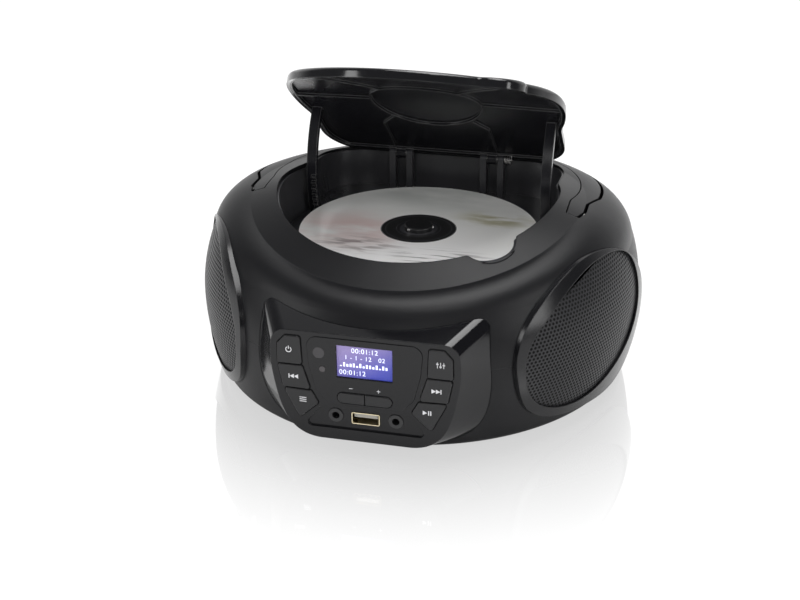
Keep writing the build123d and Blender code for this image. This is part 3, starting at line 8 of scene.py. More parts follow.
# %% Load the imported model
from math import cos, radians, sin, sqrt

import bpy
from mathutils import Matrix, Vector


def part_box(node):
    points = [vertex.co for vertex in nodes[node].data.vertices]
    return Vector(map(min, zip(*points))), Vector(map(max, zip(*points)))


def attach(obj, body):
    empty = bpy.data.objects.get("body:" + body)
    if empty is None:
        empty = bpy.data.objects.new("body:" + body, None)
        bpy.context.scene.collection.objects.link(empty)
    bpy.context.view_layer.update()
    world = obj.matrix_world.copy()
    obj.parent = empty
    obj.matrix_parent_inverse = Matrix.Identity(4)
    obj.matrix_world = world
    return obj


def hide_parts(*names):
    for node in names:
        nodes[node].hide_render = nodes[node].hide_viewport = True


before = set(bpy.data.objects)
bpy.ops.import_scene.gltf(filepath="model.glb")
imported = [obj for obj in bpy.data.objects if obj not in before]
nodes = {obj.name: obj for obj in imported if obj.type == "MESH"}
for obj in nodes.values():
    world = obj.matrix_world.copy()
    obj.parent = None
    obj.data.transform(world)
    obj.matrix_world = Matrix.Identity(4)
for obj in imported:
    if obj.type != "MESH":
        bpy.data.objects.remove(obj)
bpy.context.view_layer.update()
MM = 0.001

# %% [markdown]
# ## Camera
# The radio is seen from above and a little from its positive X side, through a long lens. The
# camera is given by its place and by two directions of its frame, because those were measured.
# A matrix whose columns are right, up and backwards turns the camera without any angles. The
# lens and its shift come from a focal length and an optical axis that are known in pixels.

# %% Place the camera
PICTURE_WIDTH, PICTURE_HEIGHT = 800, 600
FOCAL_PIXELS = 1416.37
AXIS_ACROSS, AXIS_DOWN = 409.75, 299.41
SENSOR_WIDTH = 36.0
CAMERA_PLACE = Vector((150.83, -653.92, 337.83))
CAMERA_RIGHT = Vector((0.97242, 0.23319, -0.00366)).normalized()
CAMERA_UP = Vector((-0.09421, 0.40713, 0.90850)).normalized()

camera_data = bpy.data.cameras.new("camera")
camera = bpy.data.objects.new("camera", camera_data)
bpy.context.scene.collection.objects.link(camera)
camera_back = CAMERA_RIGHT.cross(CAMERA_UP)
turn = Matrix((CAMERA_RIGHT, CAMERA_UP, camera_back)).transposed().to_4x4()
camera.matrix_world = Matrix.Translation(CAMERA_PLACE * MM) @ turn
camera_data.sensor_width = SENSOR_WIDTH
camera_data.lens = FOCAL_PIXELS / PICTURE_WIDTH * SENSOR_WIDTH
camera_data.shift_x = -(AXIS_ACROSS - PICTURE_WIDTH / 2) / PICTURE_WIDTH
camera_data.shift_y = (AXIS_DOWN - PICTURE_HEIGHT / 2) / PICTURE_WIDTH
camera_data.clip_start = 0.05
camera_data.clip_end = 20
bpy.context.scene.camera = camera
print("lens:", round(camera_data.lens, 2), "mm")

# %% [markdown]
# ## Helpers for node materials
# A finish is a tree of shader nodes. Adding nodes and drawing links one by one makes long code,
# so these helpers do both at once. Each value that they take is a plain number, a colour, or the
# output of a node made before. A Mix node names the sockets for its numbers, vectors and colours
# alike, so those are reached by their number.

# %% Node helpers
def new_finish(name):
    """Makes a material with an empty node tree and returns both."""
    material = bpy.data.materials.new(name)
    material.use_nodes = True
    material.node_tree.nodes.clear()
    return material, material.node_tree


def feed(tree, socket, value):
    """Gives a socket a plain value, or links it to another node's output."""
    if isinstance(value, bpy.types.NodeSocket):
        tree.links.new(value, socket)
    else:
        socket.default_value = value


def add(tree, kind, **values):
    """Adds a shader node; each value goes to the socket or the property of that name."""
    node = tree.nodes.new("ShaderNode" + kind)
    for key, value in values.items():
        socket = key.replace("_", " ")
        if socket in node.inputs:
            feed(tree, node.inputs[socket], value)
        else:
            setattr(node, key, value)
    return node


def calculated(tree, kind, operation, values):
    """Adds a Math or VectorMath node that works on the values in their order."""
    node = add(tree, kind, operation=operation)
    for socket, value in zip(node.inputs, values):
        feed(tree, socket, value)
    return node


def number(tree, operation, *values):
    """A number worked out from numbers."""
    return calculated(tree, "Math", operation, values).outputs["Value"]


def vector(tree, operation, *values):
    """A vector worked out from vectors."""
    return calculated(tree, "VectorMath", operation, values).outputs["Vector"]


def measure(tree, operation, *values):
    """A number worked out from vectors."""
    return calculated(tree, "VectorMath", operation, values).outputs["Value"]


def ranged(tree, value, **ends):
    """Maps a value evenly from one range to another."""
    return add(tree, "MapRange", Value=value, **ends).outputs[0]


def eased(tree, value, **ends):
    """Maps a value from one range to another, slowly near both ends."""
    return ranged(tree, value, interpolation_type="SMOOTHSTEP", **ends)


def mixed(tree, share, low, high):
    """Mixes two colours by a share."""
    mix = add(tree, "Mix", data_type="RGBA")
    for place, value in ((0, share), (6, low), (7, high)):
        feed(tree, mix.inputs[place], value)
    return mix.outputs[2]


def either(tree, share, first, second):
    """Mixes two shaders by a share."""
    mix = add(tree, "MixShader")
    for socket, value in zip(mix.inputs, (share, first.outputs[0], second.outputs[0])):
        feed(tree, socket, value)
    return mix


def object_place(tree):
    """The place of each point, in metres, as the piece lies at rest."""
    return add(tree, "TexCoord").outputs["Object"]


# %% [markdown]
# ## Table
# The table is a wide sheet that shows white to the camera, keeps the radio's soft shadow and
# mirrors it faintly, as a lacquered board does. Light Path tells the shader which rays come
# from the camera or from a glossy surface, so the whiteness is a colour and adds no light. The
# mirror image fades with its distance from the middle of the radio.

# %% Make the table
TABLE_REACH = 6.0
TABLE_DROP = 0.0002

table_mesh = bpy.data.meshes.new("table")
table_corners = [(-1, -1), (1, -1), (1, 1), (-1, 1)]
table_mesh.from_pydata(
    [(x * TABLE_REACH, y * TABLE_REACH, -TABLE_DROP) for x, y in table_corners], [], [(0, 1, 2, 3)]
)
table = bpy.data.objects.new("table", table_mesh)
bpy.context.scene.collection.objects.link(table)
print("table:", 2 * TABLE_REACH, "m wide")

# %% Finish the table
WHITENESS = 0.88
WHITE_GLOW = 1.09
WHITENESS_IN_GLOSS = 0.3
MIRROR_SHARE = 0.36
MIRROR_FULL_TO, MIRROR_GONE_AT = 0.09, 0.235

table_finish, tree = new_finish("white_lacquer")
path = add(tree, "LightPath")
in_gloss = number(tree, "MULTIPLY", path.outputs["Is Glossy Ray"], WHITENESS_IN_GLOSS)
seen = number(tree, "MAXIMUM", path.outputs["Is Camera Ray"], in_gloss)
white_share = number(tree, "MULTIPLY", seen, WHITENESS)
lit = add(tree, "BsdfDiffuse", Color=(0.9, 0.9, 0.9, 1))
glow = add(tree, "Emission", Color=(1, 1, 1, 1), Strength=WHITE_GLOW)
pale = either(tree, white_share, lit, glow)
away = measure(tree, "LENGTH", object_place(tree))
fade = eased(
    tree, away, From_Min=MIRROR_FULL_TO, From_Max=MIRROR_GONE_AT, To_Min=MIRROR_SHARE, To_Max=0.0
)
mirror = add(tree, "BsdfGlossy", Color=(1, 1, 1, 1), Roughness=0.03)
lacquer = either(tree, fade, pale, mirror)
add(tree, "OutputMaterial", Surface=lacquer.outputs[0])
table_mesh.materials.append(table_finish)
print("table finish:", len(tree.nodes), "nodes")

# %% [markdown]
# ## World
# The world is plain white for the camera and a dimmer white that lights the radio evenly. For
# glossy rays it is white behind the radio and dark in front, as in a studio with one white wall,
# so upward faces catch a pale sheen while the panel in front stays black.

# %% Make the world
WALL_STARTS, WALL_FULL = 0.25, 0.72
FRONT_GLOSS = 0.12
AMBIENT = 0.55

world = bpy.data.worlds.new("studio")
bpy.context.scene.world = world
world.use_nodes = True
tree = world.node_tree
tree.nodes.clear()
path = add(tree, "LightPath")
sky = add(tree, "TexCoord")
ways = add(tree, "SeparateXYZ", Vector=sky.outputs["Generated"])
wall = eased(
    tree, ways.outputs["Y"], From_Min=WALL_STARTS, From_Max=WALL_FULL, To_Min=FRONT_GLOSS, To_Max=1.0
)
white = add(tree, "Background", Color=(1, 1, 1, 1), Strength=1.0)
ambient = add(tree, "Background", Color=(1, 1, 1, 1), Strength=AMBIENT)
gloss = add(tree, "Background", Color=(1, 1, 1, 1), Strength=wall)
for_gloss = either(tree, path.outputs["Is Glossy Ray"], ambient, gloss)
for_camera = either(tree, path.outputs["Is Camera Ray"], for_gloss, white)
add(tree, "OutputWorld", Surface=for_camera.outputs[0])
bpy.context.scene.view_settings.view_transform = "Standard"
print("world:", len(tree.nodes), "nodes")

# %% [markdown]
# ## Lamps
# Four soft boxes stand round the radio: a wide one above, a tall one at each side and a flat one
# in front. Area lamps are used because a large lamp gives soft shadows and long, calm highlights.

# %% Hang the lamps
# Each lamp has its place, its aim, its width and height in metres, and its watts.
LAMPS = {
    "lamp_above": ((0.1, 0.15, 1.3), (0, 0, 0.08), 0.9, 0.7, 15),
    "lamp_left": ((-1.2, -0.7, 0.7), (0, 0, 0.05), 0.5, 0.9, 7),
    "lamp_right": ((1.3, -0.5, 0.6), (0, 0, 0.05), 0.4, 0.9, 6),
    "lamp_front": ((0.3, -1.5, 0.9), (0, 0, 0.05), 0.8, 0.3, 4),
}


def soft_box(name, place, aim, width, height, watts):
    """A rectangular studio lamp at a place, turned to face its aim."""
    data = bpy.data.lights.new(name, "AREA")
    data.shape = "RECTANGLE"
    data.size, data.size_y = width, height
    data.energy = watts
    lamp = bpy.data.objects.new(name, data)
    lamp.location = place
    lamp.rotation_mode = "QUATERNION"
    lamp.rotation_quaternion = (Vector(aim) - Vector(place)).to_track_quat("-Z", "Y")
    bpy.context.scene.collection.objects.link(lamp)


for name, lamp in LAMPS.items():
    soft_box(name, *lamp)
print("lamps:", len(LAMPS))

# %% [markdown]
# ## Moulded plastic
# Almost everything is moulded plastic. A mould leaves a fine even grain, and handling makes it
# a touch shinier here and there, so one helper mixes a fine noise into the bump and a broad
# noise into the colour and roughness. No moulded edge is quite sharp, so a Bevel node rounds the
# shading there. Where that rounded shading leans away from the true surface, the colour turns
# grey: a painted highlight along the edges, for the light that their rounded corners catch.
# Narrow gaps lose their shine, because little light finds its way into them. Each finish then
# differs by a few numbers.

# %% Edges and gaps of moulded plastic
SHADING_SAMPLES = 4
# Flatness where the painted edge highlight starts, and where it is full.
EDGE_STARTS, EDGE_HIGHLIGHT_FULL = 0.99, 0.86
GAP_DARK, GAP_OPEN = 0.25, 0.85


def painted_edge_highlight(tree, colour, rounded, grey):
    """Paints a highlight on edges: turns a colour grey where the rounded surface leans away from the true
    one.
    """
    true_surface = add(tree, "NewGeometry").outputs["Normal"]
    flatness = measure(tree, "DOT_PRODUCT", rounded, true_surface)
    near_edge = ranged(tree, flatness, From_Min=EDGE_STARTS, From_Max=EDGE_HIGHLIGHT_FULL)
    return mixed(tree, near_edge, colour, (grey, grey, grey, 1))


def duller_gaps(tree, roughness, width):
    """Takes the shine off where something stands nearer than so many millimetres."""
    around = add(tree, "AmbientOcclusion", samples=SHADING_SAMPLES, Distance=width * MM)
    return eased(
        tree, around.outputs["AO"], From_Min=GAP_DARK, From_Max=GAP_OPEN, To_Min=1.0, To_Max=roughness
    )


# %% Moulded plastic
BROAD_NOISE = 14.0
SHINE_SPREAD = 0.06
GRAIN_DEPTH = 0.0002


def shade_of(colour, share):
    """The colour made lighter or darker by a share, with full opacity."""
    return tuple(min(1, channel * share) for channel in colour) + (1,)


def moulded(
    name, colour, roughness, grain=0.15, grain_size=0.5, spread=0.12,
    specular=0.5, edge=0.0, edge_highlight_grey=0.0, gap=0.0,
):
    """Plastic with a moulded grain. The grain's size, the edge's radius and the gap's width are in
    mm. edge_highlight_grey is the grey of a painted highlight along the edges, which needs a
    radius too."""
    material, tree = new_finish(name)
    place = object_place(tree)
    broad = add(tree, "TexNoise", Vector=place, Scale=BROAD_NOISE, Detail=3.0).outputs[0]
    fine = add(tree, "TexNoise", Vector=place, Scale=1 / (grain_size * MM), Detail=2.0).outputs[0]
    tint = mixed(tree, broad, shade_of(colour, 1 - spread), shade_of(colour, 1 + spread))
    shine = ranged(
        tree, broad, To_Min=max(0.02, roughness - SHINE_SPREAD), To_Max=min(1, roughness + SHINE_SPREAD)
    )
    bump = add(tree, "Bump", Strength=grain, Distance=GRAIN_DEPTH, Height=fine)
    if edge:
        rounded = add(tree, "Bevel", samples=SHADING_SAMPLES, Radius=edge * MM).outputs[0]
        feed(tree, bump.inputs["Normal"], rounded)
    # Painted highlight: edges turn grey where the Bevel's rounded shading leans away.
    if edge_highlight_grey:
        tint = painted_edge_highlight(tree, tint, rounded, edge_highlight_grey)
    if gap:
        shine = duller_gaps(tree, shine, gap)
    shader = add(
        tree, "BsdfPrincipled", Specular_IOR_Level=specular,
        Base_Color=tint, Roughness=shine, Normal=bump.outputs[0],
    )
    add(tree, "OutputMaterial", Surface=shader.outputs[0])
    return material


def dress(material, *names):
    """Gives a finish to the model's nodes."""
    for name in names:
        nodes[name].data.materials.clear()
        nodes[name].data.materials.append(material)
    print(material.name, "on", len(names))


# %% [markdown]
# ## Casing and lid
# The casing is dull and almost black, the well inside it a shade lighter. The lid is polished
# outside, while its ribbed liner has a soft shine and a pale grey painted highlight along its edges.

# %% Dress the casing and the lid
body_black = moulded(
    "body_black", (0.0055, 0.0055, 0.0065), 0.38, grain=0.2, grain_size=0.45, specular=0.2, edge=0.6
)
well_black = moulded("well_black", (0.030, 0.030, 0.033), 0.3, grain=0.1, edge=0.5)
lid_polish = moulded("lid_polish", (0.006, 0.006, 0.007), 0.1, grain=0.0, edge=0.6)
# The liner's edges carry a pale grey painted highlight.
lid_liner_black = moulded(
    "lid_liner_black", (0.007, 0.007, 0.009), 0.26, grain=0.05, specular=0.4, edge=0.7, edge_highlight_grey=0.09
)
dress(body_black, "lower_housing", "upper_housing", "handle", "battery_door")
dress(well_black, "cd_deck")
dress(lid_polish, "lid_outer")
dress(lid_liner_black, "lid_inner")

# %% [markdown]
# ## Panel, keys and speaker rims
# The panel and the plate round the display are polished, the keys grained with a painted
# highlight that makes them a little greyer at their edges, and the rims of the loudspeakers in
# between. All of them have narrow gaps.

# %% Dress the front
PANEL_GAP = 2.0
KEYS = [
    "power_key", "previous_key", "menu_key", "equaliser_key", "next_key", "play_key",
    "volume_up_key", "volume_down_key",
]

panel_polish = moulded(
    "panel_polish", (0.003, 0.003, 0.004), 0.1,
    grain=0.0, spread=0.05, specular=0.36, edge=0.5, gap=PANEL_GAP,
)
plate_polish = moulded(
    "plate_polish", (0.003, 0.003, 0.004), 0.12,
    grain=0.0, spread=0.05, specular=0.36, edge=0.4, gap=PANEL_GAP,
)
# The keys' edges carry a dark grey painted highlight.
key_black = moulded(
    "key_black", (0.008, 0.008, 0.009), 0.3,
    grain=0.2, grain_size=0.35, specular=0.4, edge=0.4, edge_highlight_grey=0.06, gap=PANEL_GAP,
)
bezel_black = moulded(
    "bezel_black", (0.005, 0.005, 0.006), 0.2, grain=0.03, specular=0.34, edge=0.6, gap=PANEL_GAP
)
dress(panel_polish, "front_bezel")
dress(plate_polish, "display_plate")
dress(key_black, *KEYS)
dress(bezel_black, "speaker_bezel_left", "speaker_bezel_right")

# %% [markdown]
# ## Smaller plastic and rubber pieces
# The gears, sockets, feet, cones, boards and small windows are mostly out of sight, but a lid or
# a door that opens shows some of them, so each gets the grain and colour of what it is.

# %% Dress the smaller pieces
drive_black = moulded("drive_black", (0.012, 0.012, 0.013), 0.35, grain=0.1)
socket_black = moulded("socket_black", (0.012, 0.012, 0.013), 0.3)
tongue_ivory = moulded("tongue_ivory", (0.30, 0.29, 0.26), 0.4, grain=0.0, gap=3.0)
rubber_black = moulded("rubber_black", (0.015, 0.015, 0.015), 0.8, grain=0.4, grain_size=0.8)
ferrite = moulded("ferrite", (0.03, 0.03, 0.032), 0.7, grain=0.5, grain_size=1.2)
cone_paper = moulded("cone_paper", (0.03, 0.03, 0.03), 0.85, grain=0.9, grain_size=1.0, spread=0.3)
board_lacquer = moulded("board_lacquer", (0.02, 0.13, 0.05), 0.35, grain=0.1, grain_size=2.0)
laminate = moulded("laminate", (0.16, 0.13, 0.10), 0.55, grain=0.6, grain_size=0.7)
remote_smoke = moulded("remote_smoke", (0.028, 0.026, 0.029), 0.12, grain=0.0)
lamp_lens = moulded("lamp_lens", (0.05, 0.045, 0.048), 0.15, grain=0.0)
dress(drive_black, "turntable", "laser_sled", "sled_gear", "damper_gear", "damper_body")
dress(socket_black, "headphone_jack", "line_in_jack", "mains_inlet", "antenna_knuckle")
dress(tongue_ivory, "usb_tongue")
dress(rubber_black, "feet", "rubber_mounts")
dress(ferrite, "magnet_left", "magnet_right")
dress(cone_paper, "speaker_cone_left", "speaker_cone_right")
dress(board_lacquer, "main_board", "key_board")
dress(laminate, "transformer")
dress(remote_smoke, "remote_window")
dress(lamp_lens, "status_light")

# %% [markdown]
# ## Metal
# The wide socket's shell, the springs, pins, rods and the antenna are plated metal. Rolling
# leaves faint lines, so a noise stretched along one axis drives the roughness and the bump.

# %% Plated metal
LINES_ALONG, LINES_ACROSS = 60, 1500
LINE_DEPTH = 0.0001


def plated(name, colour, roughness, streak=0.05):
    """Rolled or drawn metal with faint lines along it."""
    material, tree = new_finish(name)
    stretched = add(
        tree, "Mapping", Vector=object_place(tree), Scale=(LINES_ALONG, LINES_ACROSS, LINES_ACROSS)
    )
    lines = add(tree, "TexNoise", Vector=stretched.outputs[0], Scale=1.0, Detail=2.0).outputs[0]
    shine = ranged(tree, lines, To_Min=max(0.03, roughness - streak), To_Max=roughness + streak)
    bump = add(tree, "Bump", Strength=0.08, Distance=LINE_DEPTH, Height=lines)
    shader = add(
        tree, "BsdfPrincipled", Base_Color=colour + (1,), Metallic=1.0,
        Roughness=shine, Normal=bump.outputs[0],
    )
    add(tree, "OutputMaterial", Surface=shader.outputs[0])
    return material


# %% Dress the metal pieces
nickel_shell = plated("nickel_shell", (0.80, 0.70, 0.48), 0.22)
antenna_chrome = plated("antenna_chrome", (0.85, 0.85, 0.86), 0.1)
drawn_steel = plated("drawn_steel", (0.62, 0.61, 0.6), 0.3)
dress(nickel_shell, "usb_shell")
dress(antenna_chrome, "antenna_outer", "antenna_middle", "antenna_tip")
dress(
    drawn_steel, "hinge_pins", "lid_spring", "sled_rods", "hub_balls", "mechanism_frame",
    "spindle_motor", "speaker_frame_left", "speaker_frame_right", "battery_contacts", "battery_springs",
)

# %% [markdown]
# ## Window and lens
# The display's window and the laser's lens are clear. A principled shader with a low alpha keeps
# its reflections and lets the display show through, and it costs far less than real refraction.

# %% Clear pieces
def clear_plastic(name, colour, alpha):
    """Thin clear plastic: see-through, with a glossy face that is a little uneven."""
    material, tree = new_finish(name)
    haze = add(tree, "TexNoise", Vector=object_place(tree), Scale=220.0).outputs[0]
    bump = add(tree, "Bump", Strength=0.01, Distance=0.0001, Height=haze)
    shader = add(
        tree, "BsdfPrincipled", Base_Color=colour + (1,), Roughness=0.05, Alpha=alpha,
        Normal=bump.outputs[0],
    )
    add(tree, "OutputMaterial", Surface=shader.outputs[0])
    return material


dress(clear_plastic("window_clear", (0.02, 0.02, 0.03), alpha=0.12), "display_window")
dress(clear_plastic("lens_clear", (0.35, 0.4, 0.55), alpha=0.5), "laser_lens")

# %% [markdown]
# ## Backlit display
# The display glows blue, paler and more violet towards one upper corner. The place of each point
# along a slanting line drives both the colour and the glow of one shader.

# %% Display glow
SLANT_ACROSS, SLANT_UP = -0.45, 0.9
GLOW_STRENGTH = 0.62


def backlight(name, low, high, low_corner, high_corner):
    """A glowing face that shades from one colour at its low right to another at its high left."""
    material, tree = new_finish(name)
    along = measure(tree, "DOT_PRODUCT", object_place(tree), (SLANT_ACROSS, 0, SLANT_UP))
    height = eased(
        tree, along,
        From_Min=SLANT_ACROSS * high_corner.x + SLANT_UP * low_corner.z,
        From_Max=SLANT_ACROSS * low_corner.x + SLANT_UP * high_corner.z,
    )
    blue = mixed(tree, height, low + (1,), high + (1,))
    shader = add(
        tree, "BsdfPrincipled", Base_Color=blue, Roughness=0.3,
        Emission_Color=blue, Emission_Strength=GLOW_STRENGTH,
    )
    add(tree, "OutputMaterial", Surface=shader.outputs[0])
    return material


low_corner, high_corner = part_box("display_module")
display_violet = backlight(
    "display_violet", (0.035, 0.05, 0.36), (0.26, 0.21, 0.42), low_corner, high_corner
)
dress(display_violet, "display_module")

# %% [markdown]
# ## Printed disc
# The disc's face is a soft print on a pale ground. Everything on it is placed from the disc's
# axis, so the shader first works out where a point lies from there, flat and in metres, and how
# far out it is.

# %% Find the disc's axis
disc_low, disc_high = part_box("disc")
disc_x, disc_y = (disc_low.x + disc_high.x) / 2, (disc_low.y + disc_high.y) / 2
disc_finish, disc_tree = new_finish("disc_print")
centred = add(disc_tree, "Mapping", Vector=object_place(disc_tree), Location=(-disc_x, -disc_y, 0))
from_axis = vector(disc_tree, "MULTIPLY", centred.outputs[0], (1, 1, 0))
distance_out = measure(disc_tree, "LENGTH", from_axis)
print("disc axis:", round(disc_x / MM, 2), round(disc_y / MM, 2), "mm")

# %% [markdown]
# A printed picture is many soft patches of colour. One helper lays a patch: it is full at its
# middle, ends at its reach, and a stretched and turned noise breaks it into strokes. The loop
# lays each patch over those before it.

# %% Lay the patches of the print
PALE_GROUND = (0.82, 0.82, 0.80, 1)


def patch(tree, below, middle, reach, colour, strokes, detail, starts, full, turned):
    """Lays a soft patch over what is below; its strokes start and are full at two noise values."""
    off_middle = vector(tree, "SUBTRACT", from_axis, middle)
    far = measure(tree, "LENGTH", vector(tree, "DIVIDE", off_middle, reach))
    inside = eased(tree, far, To_Min=1.0, To_Max=0.0)
    stretched = add(tree, "Mapping", Vector=from_axis, Scale=strokes, Rotation=(0, 0, radians(turned)))
    noise = add(tree, "TexNoise", Vector=stretched.outputs[0], Scale=1.0, Detail=detail).outputs[0]
    stroke = eased(tree, noise, From_Min=starts, From_Max=full)
    return mixed(tree, number(tree, "MULTIPLY", inside, stroke), below, colour + (1,))


# Each row: middle and reach in metres, colour, stroke scale, detail, noise where strokes start
# and where they are full, and turn in degrees.
PATCHES = [
    ((0.0, -0.03, 0), (0.075, 0.05, 1), (1.0, 0.99, 0.99), (30, 30, 1), 2.0, 0.1, 0.5, -14),
    ((0.0, 0.05, 0), (0.07, 0.04, 1), (0.50, 0.52, 0.50), (20, 40, 1), 3.0, 0.25, 0.6, -14),
    ((-0.033, -0.008, 0), (0.05, 0.035, 1), (0.70, 0.52, 0.50), (24, 60, 1), 4.0, 0.3, 0.6, -14),
    ((-0.025, -0.026, 0), (0.035, 0.016, 1), (0.34, 0.28, 0.28), (60, 260, 1), 5.0, 0.46, 0.62, -14),
    ((0.036, 0.02, 0), (0.028, 0.015, 1), (0.36, 0.33, 0.16), (40, 140, 1), 4.0, 0.36, 0.58, -14),
    ((0.02, -0.036, 0), (0.034, 0.016, 1), (0.05, 0.04, 0.04), (36, 520, 1), 4.0, 0.54, 0.6, -26),
]
picture = PALE_GROUND
for row in PATCHES:
    picture = patch(disc_tree, picture, *row)
print("patches:", len(PATCHES))

# %% [markdown]
# Inside the print lies clear plastic over the dark hub. A few fine pale rings are painted on it
# as highlights, for the light that the hub's rings catch. A colour ramp of flat steps, driven by
# the distance from the axis, draws them, and the same distance says where the print begins.

# %% Paint highlights on the disc's rings
DISC_RADIUS = 60
HUB_EDGE = 9.5
PRINT_EDGE = 19.1
# Radius in mm and grey of each step: pale steps are painted highlights, dark steps end them.
HUB_RING_HIGHLIGHTS = {10.8: 0.09, 11.1: 0.014, 16.4: 0.06, 16.8: 0.012, 18.5: 0.14}

share_out = ranged(disc_tree, distance_out, From_Max=DISC_RADIUS * MM)
rings = add(disc_tree, "ValToRGB", Fac=share_out)
ramp = rings.color_ramp
ramp.interpolation = "CONSTANT"
ramp.elements[0].color = (0.05, 0.05, 0.055, 1)
ramp.elements[1].position = HUB_EDGE / DISC_RADIUS
ramp.elements[1].color = (0.012, 0.012, 0.014, 1)
for ring_radius, grey in HUB_RING_HIGHLIGHTS.items():
    step = ramp.elements.new(ring_radius / DISC_RADIUS)
    step.color = (grey, grey, grey * 1.05, 1)
printed = number(disc_tree, "GREATER_THAN", distance_out, PRINT_EDGE * MM)
disc_face = mixed(disc_tree, printed, rings.outputs[0], picture)
shader = add(
    disc_tree, "BsdfPrincipled", Base_Color=disc_face, Roughness=0.34,
    Coat_Weight=0.35, Coat_Roughness=0.12,
)
add(disc_tree, "OutputMaterial", Surface=shader.outputs[0])
dress(disc_finish, "disc")

# %% [markdown]
# ## Perforated steel
# A real grille is a steel sheet with thousands of holes punched on a honeycomb. Cutting each one
# would make a very heavy mesh, so the holes come from a shader, painted almost black: painted
# shade for the dark cone in the shadow behind them. A honeycomb is two square-cornered grids of
# dots, one shifted by half a step: fractions repeat each grid, and the nearer of the two dots
# says how far a point is from a hole.

# %% Finish of the perforated steel
HOLE_PITCH, HOLE_WIDTH = 2.0, 1.3
HOLE_SOFTNESS = 0.05
HOLE_DEPTH = 0.0003
FLAT_MAP = "across_up"


def dot_distance(tree, cell, shift):
    """Distance to the nearest dot of one grid, in steps of the grid."""
    shifted = vector(tree, "ADD", cell, (shift, shift, 0))
    fraction = vector(tree, "FRACTION", shifted)
    off_dot = vector(tree, "SUBTRACT", fraction, (0.5, 0.5, 0))
    return measure(tree, "LENGTH", vector(tree, "MULTIPLY", off_dot, (1, sqrt(3), 0)))


def perforated(name, pitch, hole, colour, roughness):
    """Painted steel with round holes on a honeycomb; the pitch and the hole are in mm."""
    material, tree = new_finish(name)
    flat_map = add(tree, "UVMap", uv_map=FLAT_MAP).outputs[0]
    step = pitch * MM
    cell = vector(tree, "MULTIPLY", flat_map, (1 / step, 1 / (step * sqrt(3)), 0))
    nearest = number(tree, "MINIMUM", dot_distance(tree, cell, 0.0), dot_distance(tree, cell, 0.5))
    rim = hole / pitch / 2
    steel = eased(tree, nearest, From_Min=rim - HOLE_SOFTNESS, From_Max=rim + HOLE_SOFTNESS)
    # The holes are painted almost black, as painted shade for the dark inside behind them.
    tint = mixed(tree, steel, (0.001, 0.001, 0.001, 1), colour + (1,))
    shine = ranged(tree, steel, To_Min=1.0, To_Max=roughness)
    bump = add(tree, "Bump", Strength=0.6, Distance=HOLE_DEPTH, Height=steel)
    shader = add(
        tree, "BsdfPrincipled", Specular_IOR_Level=0.3,
        Base_Color=tint, Roughness=shine, Normal=bump.outputs[0],
    )
    add(tree, "OutputMaterial", Surface=shader.outputs[0])
    return material


grille_steel = perforated("grille_steel", HOLE_PITCH, HOLE_WIDTH, (0.014, 0.014, 0.016), 0.34)
print("grille_steel:", HOLE_WIDTH, "mm holes,", HOLE_PITCH, "mm apart")

# %% [markdown]
# ## The casing's curve
# A grille follows the casing, which is an ellipse at every height, widest at its waist. To lay
# a flat shape on it, a point that is so far across and up from the loudspeaker's axis is moved
# out along that axis until it meets the ellipse, which is a quadratic equation.

# %% Follow the casing
HALF_WIDTH, HALF_DEPTH, WAIST_Z = 110.0, 116.0, 45.0
BROW = (105.5, 107.5, 71.0)
BASE = (103.0, 106.0, 3.0)
SPEAKER_TURN = radians(62)


def waist(z):
    """Half width and half depth of the casing at a height, in millimetres."""
    end = BROW if z > WAIST_Z else BASE
    share = ((z - WAIST_Z) / (end[2] - WAIST_Z)) ** 2
    return HALF_WIDTH - (HALF_WIDTH - end[0]) * share, HALF_DEPTH - (HALF_DEPTH - end[1]) * share


def on_casing(across, z, proud):
    """Point on the casing, so far across from a loudspeaker's axis, at a height, and proud by so much."""
    half_width, half_depth = (half + proud for half in waist(z))
    axis_x, axis_y = sin(SPEAKER_TURN), cos(SPEAKER_TURN)
    square_term = (axis_x / half_width) ** 2 + (axis_y / half_depth) ** 2
    linear_term = 2 * across * (axis_x * axis_y / half_width**2 - axis_x * axis_y / half_depth**2)
    constant = (across * axis_y / half_width) ** 2 + (across * axis_x / half_depth) ** 2 - 1
    root = sqrt(linear_term * linear_term - 4 * square_term * constant)
    out_by = (-linear_term + root) / (2 * square_term)
    return out_by * axis_x + across * axis_y, -out_by * axis_y + across * axis_x, z


print("casing at its waist:", [round(half, 1) for half in waist(WAIST_Z)])

# %% [markdown]
# ## Grilles
# A grille's outline is a smooth closed curve through eight points. A small spline formula draws
# it, so that the same points can then be laid on the casing.

# %% Draw the grille's outline
GRILLE_EDGE = [(-50, 42), (-39, 21), (-17, 14), (18, 23), (41, 47), (37, 69), (13, 79.5), (-36, 64)]
EDGE_STEPS = 12


def spline(before, start, end, after, share):
    """Value at a share of the way from start to end, on a curve that heeds both neighbours."""
    slope = end - before
    square = 2 * before - 5 * start + 4 * end - after
    cube = 3 * start - before - 3 * end + after
    return 0.5 * (2 * start + slope * share + square * share**2 + cube * share**3)


def smooth_loop(points, steps):
    """Points on a smooth closed curve through the given ones."""
    loop = []
    count = len(points)
    for index in range(count):
        four = [points[(index + shift) % count] for shift in (-1, 0, 1, 2)]
        for step in range(steps):
            loop.append(tuple(spline(*values, step / steps) for values in zip(*four)))
    return loop


outline = smooth_loop(GRILLE_EDGE, EDGE_STEPS)
grille_middle = tuple(sum(values) / len(outline) for values in zip(*outline))
print("outline:", len(outline), "points")

# %% [markdown]
# The sheet is a fan of rings from the middle to the outline. The flat places of its points go
# into a UV map in metres, so the holes keep their real size. The other grille is the same sheet
# with its X turned round, and its faces turn round too, so both face outwards.

# %% Shape the grilles
RINGS = 20
GRILLE_PROUD = 0.95
GRILLE_TUCK = 1.012


